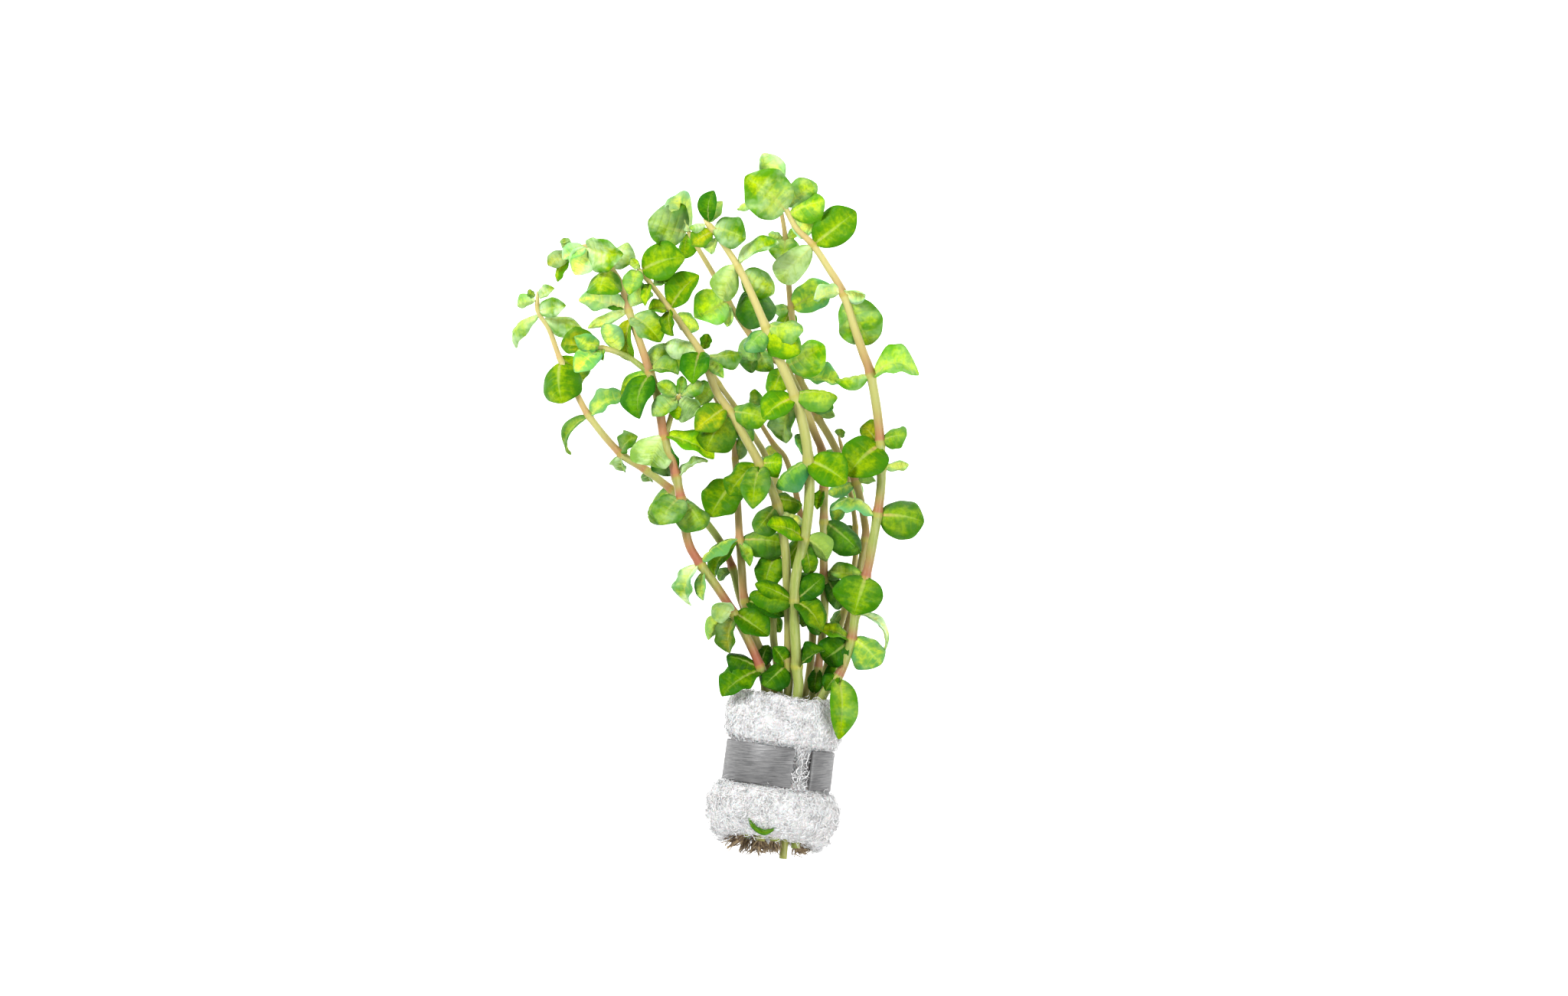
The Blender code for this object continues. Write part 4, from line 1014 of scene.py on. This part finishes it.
leafMaterials = [leafMaterial("leafUpper", False), leafMaterial("leafUnder", True)]
stalkLook = stalkMaterial()
rootLook = rootMaterial()
broadLeaf = modelLeaf("broadLeaf", leafForm["rows"], leafForm["columns"], leafMaterials)
smallLeaf = modelLeaf("smallLeaf", leafForm["smallRows"], leafForm["smallColumns"], leafMaterials)
lines = {name: stemLine(stem) for name, stem in stems.items()}
lines |= {name: shootLine(shoot, lines["b"]) for name, shoot in shoots.items()}
unsure = []
for name, plant in (stems | shoots).items():
    line = lines[name]
    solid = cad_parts[f"stem_{name}" if name in stems else f"shoot_{name}"]
    fork = [nearestOn(lines["b"], plant["fork"])[0]] if name in shoots else []
    stalk = growStalk(name, plant, line + fork, stalkLook)
    grown = [
        growRoot(f"root_{name}", line, spot, rootLook)
        for spot in roots.get(name, ()) for strand in range(rootForm["strands"])
    ]
    stand(joined([stalk, *grown], f"stalk_{name}"), "stem", solid.name)
    foliage = []
    for leaf in plant["leaves"]:
        label = f"{name}_{leaf[0]}"
        own = f"leaf_{label}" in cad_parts
        form = "large" if own else "small" if leaf[4] > leafForm["tinyWidth"] else "tiny"
        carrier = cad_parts[f"leaf_{label}"] if own else solid
        tree = treeOf([corner.co for corner in carrier.data.vertices])
        place, sure = settledPlace(leaf, line, own, form, tree)
        if not sure:
            unsure.append(label)
        master = broadLeaf if own else smallLeaf
        blade = layLeaf(f"blade_{label}", master, place, *leafLook(label, leaf[1][1]))
        if own:
            stand(blade, "leaf", carrier.name)
        else:
            foliage.append(blade)
    stand(joined(foliage, f"foliage_{name}"), "leaf", solid.name)

# a loose scrap of leaf lies bent on the wool, seen nearly from its edge
scrapForm = {
    "foot": (978, 1069), "tip": (1014, 1083), "bow": 0.27, "reach": 1.25 * mm, "tilt": 34, "rise": -1.3 * mm,
    # the scrap's tone and its share of painted sheen
    "tone": 0.8, "sheen": 0.1,
}
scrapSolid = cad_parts["leaf_scrap"]
height = cornersOf(scrapSolid)[:, 2].max() + scrapForm["rise"]
scrapFoot, scrapTip = at(*scrapForm["foot"], height), at(*scrapForm["tip"], height)
scrapBlade = (scrapTip - scrapFoot).normalized()
tilt = radians(scrapForm["tilt"])
scrapTop = Vector((scrapBlade.y, -scrapBlade.x, 0)) * cos(tilt) + up * sin(tilt)
scrap = layLeaf("scrap", smallLeaf, {
    "stalk": scrapFoot, "away": Vector(), "point": scrapTip, "top": scrapTop,
    "across": scrapBlade.cross(scrapTop), "reach": scrapForm["reach"], "bow": scrapForm["bow"],
}, Vector(tints["lush"]) * scrapForm["tone"], 0.0, scrapForm["sheen"])
stand(scrap, "leaf", scrapSolid.name)
for master in (broadLeaf, smallLeaf):
    bpy.data.objects.remove(master, do_unlink=True)
print("stems and leaves stand; placed by eye:", unsure)

# the foot: wool, band and fibres

wool = {
    "outside": (
        (0.2, 12.6), (2.5, 14.6), (6.5, 16.2), (10.5, 16.5), (14.2, 14.6), (15.0, 12.35),
        (25.6, 12.35), (26.4, 13.8), (31.0, 14.6), (35.0, 14.2), (37.6, 12.9),
    ),
    "bore": ((37.6, 11.7), (26.0, 7.2), (9.0, 7.2), (0.2, 11.0)),
    "steps": 40,
    "lumpSize": 3.2 * mm,
    "lumpHeight": 1.6 * mm,
    "fluffSize": 1.0 * mm,
    "fluffHeight": 0.7 * mm,
    "notch": 2.8 * mm,
    "notchLength": 9 * mm,
    "boreReach": 9 * mm,
    "smoothMargin": 0.6 * mm,
    # how much of the painted shadow in the band's gap stays mid-gap
    "leastGapShadow": 0.45,
    "dark": 0.47,
    "light": 0.81,
    # the grey of that painted shadow
    "gapShadow": 0.05,
}

band = {
    "width": 9.8 * mm,
    "thickness": 0.9 * mm,
    "radius": 13.65 * mm,
    "middle": 20.3 * mm,
    "gapStart": 15,
    "gapEnd": 37,
    "steps": 90,
    "edge": 0.22 * mm,
    "dentSize": 6 * mm,
    "dentHeight": 0.35 * mm,
    "dark": (0.051, 0.051, 0.053),
    "light": 0.162,
    "cloud": 0.195,
}

fibres = {
    "count": 4200,
    "points": 8,
    "thickness": 0.055 * mm,
    "shortest": 2.5 * mm,
    "longest": 8 * mm,
    "thicknessRange": (0.6, 1.3),
    "loop": 0.7 * mm,
    "loopRange": (0.1, 1.6),
    "bend": 0.495,
    "wave": 0.7,
    "waveRange": (0.6, 1.8),
    "stray": 0.2,
    "strayHeight": 2.2,
    "buried": 0.1 * mm,
    "tuft": 3.0,
    "tuftThickness": 1.9,
    "tuftMargin": 7,
    "heldHeight": 0.25 * mm,
    "skinRadius": 9.5 * mm,
    "skinHeight": 0.4 * mm,
    "dark": 0.57,
    "light": 0.83,
}

lowArray, axisArray, rightArray, upArray = (np.array(way) for way in (footLow, footAxis, footRight, footUp))


def spinRound(thing, turn, steps):  # spins the outline round the foot's axis
    edit(thing)
    bpy.ops.mesh.spin(steps=steps, angle=turn, center=footLow, axis=footAxis)
    weld(foot["weldGap"])


def flattened(places):  # the roll is a little lower than wide
    high = (places - lowArray) @ upArray
    return places - np.outer(high * (1 - foot["flatness"]), upArray)


def roundFoot(places):  # how far along the foot each place is, its turn round it in degrees, and its radius
    station = (places - lowArray) @ axisArray
    away = places - lowArray - np.outer(station, axisArray)
    turn = np.degrees(np.arctan2(away @ rightArray, away @ upArray)) % 360
    return station, turn, np.linalg.norm(away, axis=1)


def underBand(station, margin=0.0):
    return np.abs(station - band["middle"]) < band["width"] / 2 + margin


def clouds(name, size):
    texture = bpy.data.textures.new(name, "CLOUDS")
    texture.noise_scale = size
    texture.noise_depth = 3
    return texture


def modelWool(material):
    profile = wool["outside"] + wool["bore"]
    roll = added("wool_roll", bpy.ops.mesh.primitive_circle_add, vertices=len(profile), fill_type="NOTHING")
    setCorners(roll, [inFoot(station * mm, 0, radius * mm) for station, radius in profile])
    spinRound(roll, 2 * pi, wool["steps"])
    places = cornersOf(roll)
    station, turn, radius = roundFoot(places)
    above = np.clip(np.cos(np.radians(turn)), 0, 1) ** 0.5  # the cut end is drawn in along the top
    drawn = wool["notch"] * above * np.maximum(1 - station / wool["notchLength"], 0)
    setCorners(roll, flattened(places + np.outer(drawn, axisArray)))
    finishWith(roll, "SUBSURF", subdivision_type="SIMPLE", levels=2, render_levels=2)
    smooth = cornersOf(roll)
    for kind in ("lump", "fluff"):
        texture = clouds(kind, wool[f"{kind}Size"])
        finishWith(roll, "DISPLACE", texture=texture, strength=wool[f"{kind}Height"], mid_level=0.55)
    places = cornersOf(roll)
    station, turn, radius = roundFoot(smooth)
    bound = underBand(station, wool["smoothMargin"]) & (radius > wool["boreReach"])  # the band presses it
    places[bound] = smooth[bound]
    places[:, 2] = np.maximum(places[:, 2], 0)
    setCorners(roll, places)
    station, turn, radius = roundFoot(places)
    # painted shadow in the band's gap: the wool there is darkened, most beside the band's ends
    half = (band["gapEnd"] - band["gapStart"]) / 2
    beside = np.abs(turn - band["gapStart"] - half) / half  # nothing mid-gap, one at its sides
    least = wool["leastGapShadow"]
    gapShadow = np.clip(least + (1 - least) * beside, 0, 1)
    mark(roll, "gapShadow", underBand(station) * (beside < 2) * gapShadow)
    bpy.ops.object.shade_smooth()
    roll.data.materials.append(material)
    return roll


def modelBand(material):
    half = band["width"] / 2
    outer, inner = band["radius"], band["radius"] - band["thickness"]
    angle = radians(band["gapEnd"])
    strip = added("band_strip", bpy.ops.mesh.primitive_plane_add, size=1)
    outline = ((-half, outer), (half, outer), (-half, inner), (half, inner))  # as a plane's corners follow
    setCorners(strip, [
        inFoot(band["middle"] + along, radius * sin(angle), radius * cos(angle)) for along, radius in outline
    ])
    spinRound(strip, -radians(360 - band["gapEnd"] + band["gapStart"]), band["steps"])
    setCorners(strip, flattened(cornersOf(strip)))
    finishWith(strip, "BEVEL", width=band["edge"], segments=2, limit_method="ANGLE", angle_limit=radians(50))
    texture = clouds("dents", band["dentSize"])
    finishWith(strip, "DISPLACE", texture=texture, strength=band["dentHeight"], mid_level=0.5)
    only(strip)
    bpy.ops.object.shade_smooth_by_angle(angle=radians(35))
    strip.data.materials.append(material)
    return strip


def combFibres(name, roll, material):  # curly threads that loop over the wool and back into it
    skin = bmesh.new()
    skin.from_mesh(roll.data)
    bmesh.ops.triangulate(skin, faces=skin.faces)
    skin.faces.ensure_lookup_table()
    areas = np.array([face.calc_area() for face in skin.faces])
    normals = np.array([face.normal for face in skin.faces])
    middles = np.array([face.calc_center_median() for face in skin.faces])
    tree = BVHTree.FromBMesh(skin)
    skin.free()
    station, turn, radius = roundFoot(middles)
    under = underBand(station)
    inGap = (turn > band["gapStart"] + fibres["tuftMargin"]) & (turn < band["gapEnd"] - fibres["tuftMargin"])
    held = under & ((turn < band["gapStart"]) | (turn > band["gapEnd"]))
    shown = (radius > fibres["skinRadius"]) & (~under | inGap) & (middles[:, 2] > fibres["skinHeight"])
    areas = areas * shown * np.where(under, fibres["tuft"], 1)
    starts = dice.choice(len(areas), fibres["count"], p=areas / areas.sum())
    last = fibres["points"] - 1
    paths = []
    radii = []
    for number in starts:
        here = Vector(middles[number])
        normal = Vector(normals[number])
        heading = Quaternion(normal, dice.uniform(0, 2 * pi)) @ normal.orthogonal().normalized()
        length = dice.uniform(fibres["shortest"], fibres["longest"])
        loop = fibres["loop"] * dice.uniform(*fibres["loopRange"])
        stray = dice.random() < fibres["stray"]
        bend = dice.normal(0, fibres["bend"])
        phase, waves = dice.uniform(0, 2 * pi), dice.uniform(*fibres["waveRange"])
        path = []
        for step in range(fibres["points"]):
            t = step / last
            heading = Quaternion(normal, bend + sin(phase + t * waves * 2 * pi) * fibres["wave"]) @ heading
            here, normal, index, gap = tree.find_nearest(here + heading * length / last)
            normal = normal.normalized()
            heading = (heading - normal * heading.dot(normal)).normalized()
            height = loop * (fibres["strayHeight"] * t if stray else sin(pi * t)) - fibres["buried"]
            height = min(height, fibres["heldHeight"]) if held[index] else height
            risen = here + normal * height
            path.append(Vector((risen.x, risen.y, max(risen.z, 2 * fibres["thickness"]))))
        paths.append(path)
        share = fibres["tuftThickness"] if under[number] else 1
        radii.append(fibres["thickness"] * dice.uniform(*fibres["thicknessRange"]) * share)
    return threads(name, paths, radii, material)


def threads(name, paths, radii, material):  # three-sided threads with pointed ends, all in one mesh
    corners = []
    faces = []
    for path, radius in zip(paths, radii):
        here = len(corners)
        inner = path[1:-1]
        corners.append(path[0])
        for number, place in enumerate(inner, 1):
            along = (path[number + 1] - path[number - 1]).normalized()
            side = along.orthogonal().normalized() * radius
            corners += [place + Quaternion(along, 2 * pi * turn / 3) @ side for turn in range(3)]
        corners.append(path[-1])
        last = here + 1 + 3 * (len(inner) - 1)
        for turn in range(3):
            after = (turn + 1) % 3
            faces.append((here, here + 1 + after, here + 1 + turn))
            faces.append((last + turn, last + after, last + 3))
            for low in range(here + 1, last, 3):
                faces.append((low + turn, low + after, low + 3 + after, low + 3 + turn))
    mesh = bpy.data.meshes.new(name)
    mesh.from_pydata(corners, [], faces)
    thing = bpy.data.objects.new(name, mesh)
    bpy.context.collection.objects.link(thing)
    only(thing)
    bpy.ops.object.shade_smooth()
    mesh.materials.append(material)
    return thing


def woolMaterial():
    look = startLook("wool", Roughness=0.9, Subsurface_Weight=0.2, Subsurface_Scale=0.002)
    place = objectPlace(look)
    fine = ramp(noise(place, 1300, 4, 0.7), 0.35, 0.65)
    cells = node("TexVoronoi", {"Vector": place, "Scale": 1100.0}, feature="F1")["Distance"]
    # darker speckle: partly the wool's own grey flecks, partly painted shade in the gaps between fibres
    speckle = times(fine, ramp(cells, 0.75, 0.15))
    colour = mixed(speckle, wool["dark"], wool["light"])
    # painted shadow in the band's gap
    colour = mixed(times(marked(look, "gapShadow")["Fac"], 0.95), colour, wool["gapShadow"])
    bumped(look, speckle, 0.6, 0.0006)
    plug(look, Base_Color=colour)
    return look


def fibreMaterial():
    look = startLook("fibre")
    tone = ramp(noise(objectPlace(look), 420, 3), 0.3, 0.7)
    colour = mixed(tone, fibres["dark"], fibres["light"])
    plug(look, Base_Color=colour, Roughness=ramp(tone, 0.0, 1.0, 0.45, 0.22))
    return look


def bandMaterial():
    look = startLook("lead", Metallic=0.4)
    place = objectPlace(look)
    rotation = (0, 0, atan2(footAxis.x, footAxis.y))
    mapping = {"Vector": place, "Rotation": rotation, "Scale": (0.06, 1, 0.06)}
    lengthwise = node("Mapping", mapping)["Vector"]
    streaks = ramp(noise(lengthwise, 4200, 4, 0.7), 0.3, 0.7)
    cloud = ramp(noise(place, 260, 3), 0.3, 0.75)
    colour = mixed(streaks, band["dark"], band["light"])
    colour = mixed(times(cloud, 0.3), colour, band["cloud"])
    bumped(look, streaks, 0.25, 0.0001)
    plug(look, Base_Color=colour, Roughness=ramp(cloud, 0.0, 1.0, 0.42, 0.6))
    return look


roll = modelWool(woolMaterial())
stand(roll, "wool", "wool_wrap")
stand(combFibres("wool_fibres", roll, fibreMaterial()), "wool", "wool_wrap")
stand(modelBand(bandMaterial()), "band", "metal_band")
print("the foot is bound")

# camera, floor and light

studio = {
    "floorSize": 6,
    "floorTone": 0.93,
    "floorGlow": 0.7,
    "world": 0.58,
    "sensor": 36,
    "lights": {  # each one's place, size and watts
        "key": ((-0.6, 0.5, 0.75), 0.35, 15.5),
        "fill": ((0.7, -0.3, 0.9), 0.7, 14),
    },
}


def buildStudio():
    floor = added("floor", bpy.ops.mesh.primitive_plane_add, size=studio["floorSize"])
    look = startLook("floor", Roughness=0.9, Base_Color=studio["floorTone"], Emission_Color=1)
    plug(look, Emission_Strength=studio["floorGlow"])
    floor.data.materials.append(look)
    bpy.ops.object.camera_add(location=at(*bunch["viewPixel"], bunch["viewHeight"]), rotation=(0, 0, 0))
    camera = bpy.context.object
    camera.data.sensor_width = studio["sensor"]
    camera.data.lens = studio["sensor"] * bunch["viewHeight"] / (bunch["pictureWidth"] * pixel)
    camera.data.clip_start = 0.01
    scene = bpy.context.scene
    scene.camera = camera
    for name, (spot, size, power) in studio["lights"].items():
        bpy.ops.object.light_add(type="AREA", location=spot)
        light = newest(name)
        light.data.size = size
        light.data.energy = power
        light.rotation_euler = (-Vector(spot)).to_track_quat("-Z", "Y").to_euler()
    scene.world = bpy.data.worlds.new("studio")
    scene.world.use_nodes = True
    feed(scene.world.node_tree.nodes["Background"], {"Color": 1, "Strength": studio["world"]})
    scene.view_settings.view_transform = "Standard"


buildStudio()
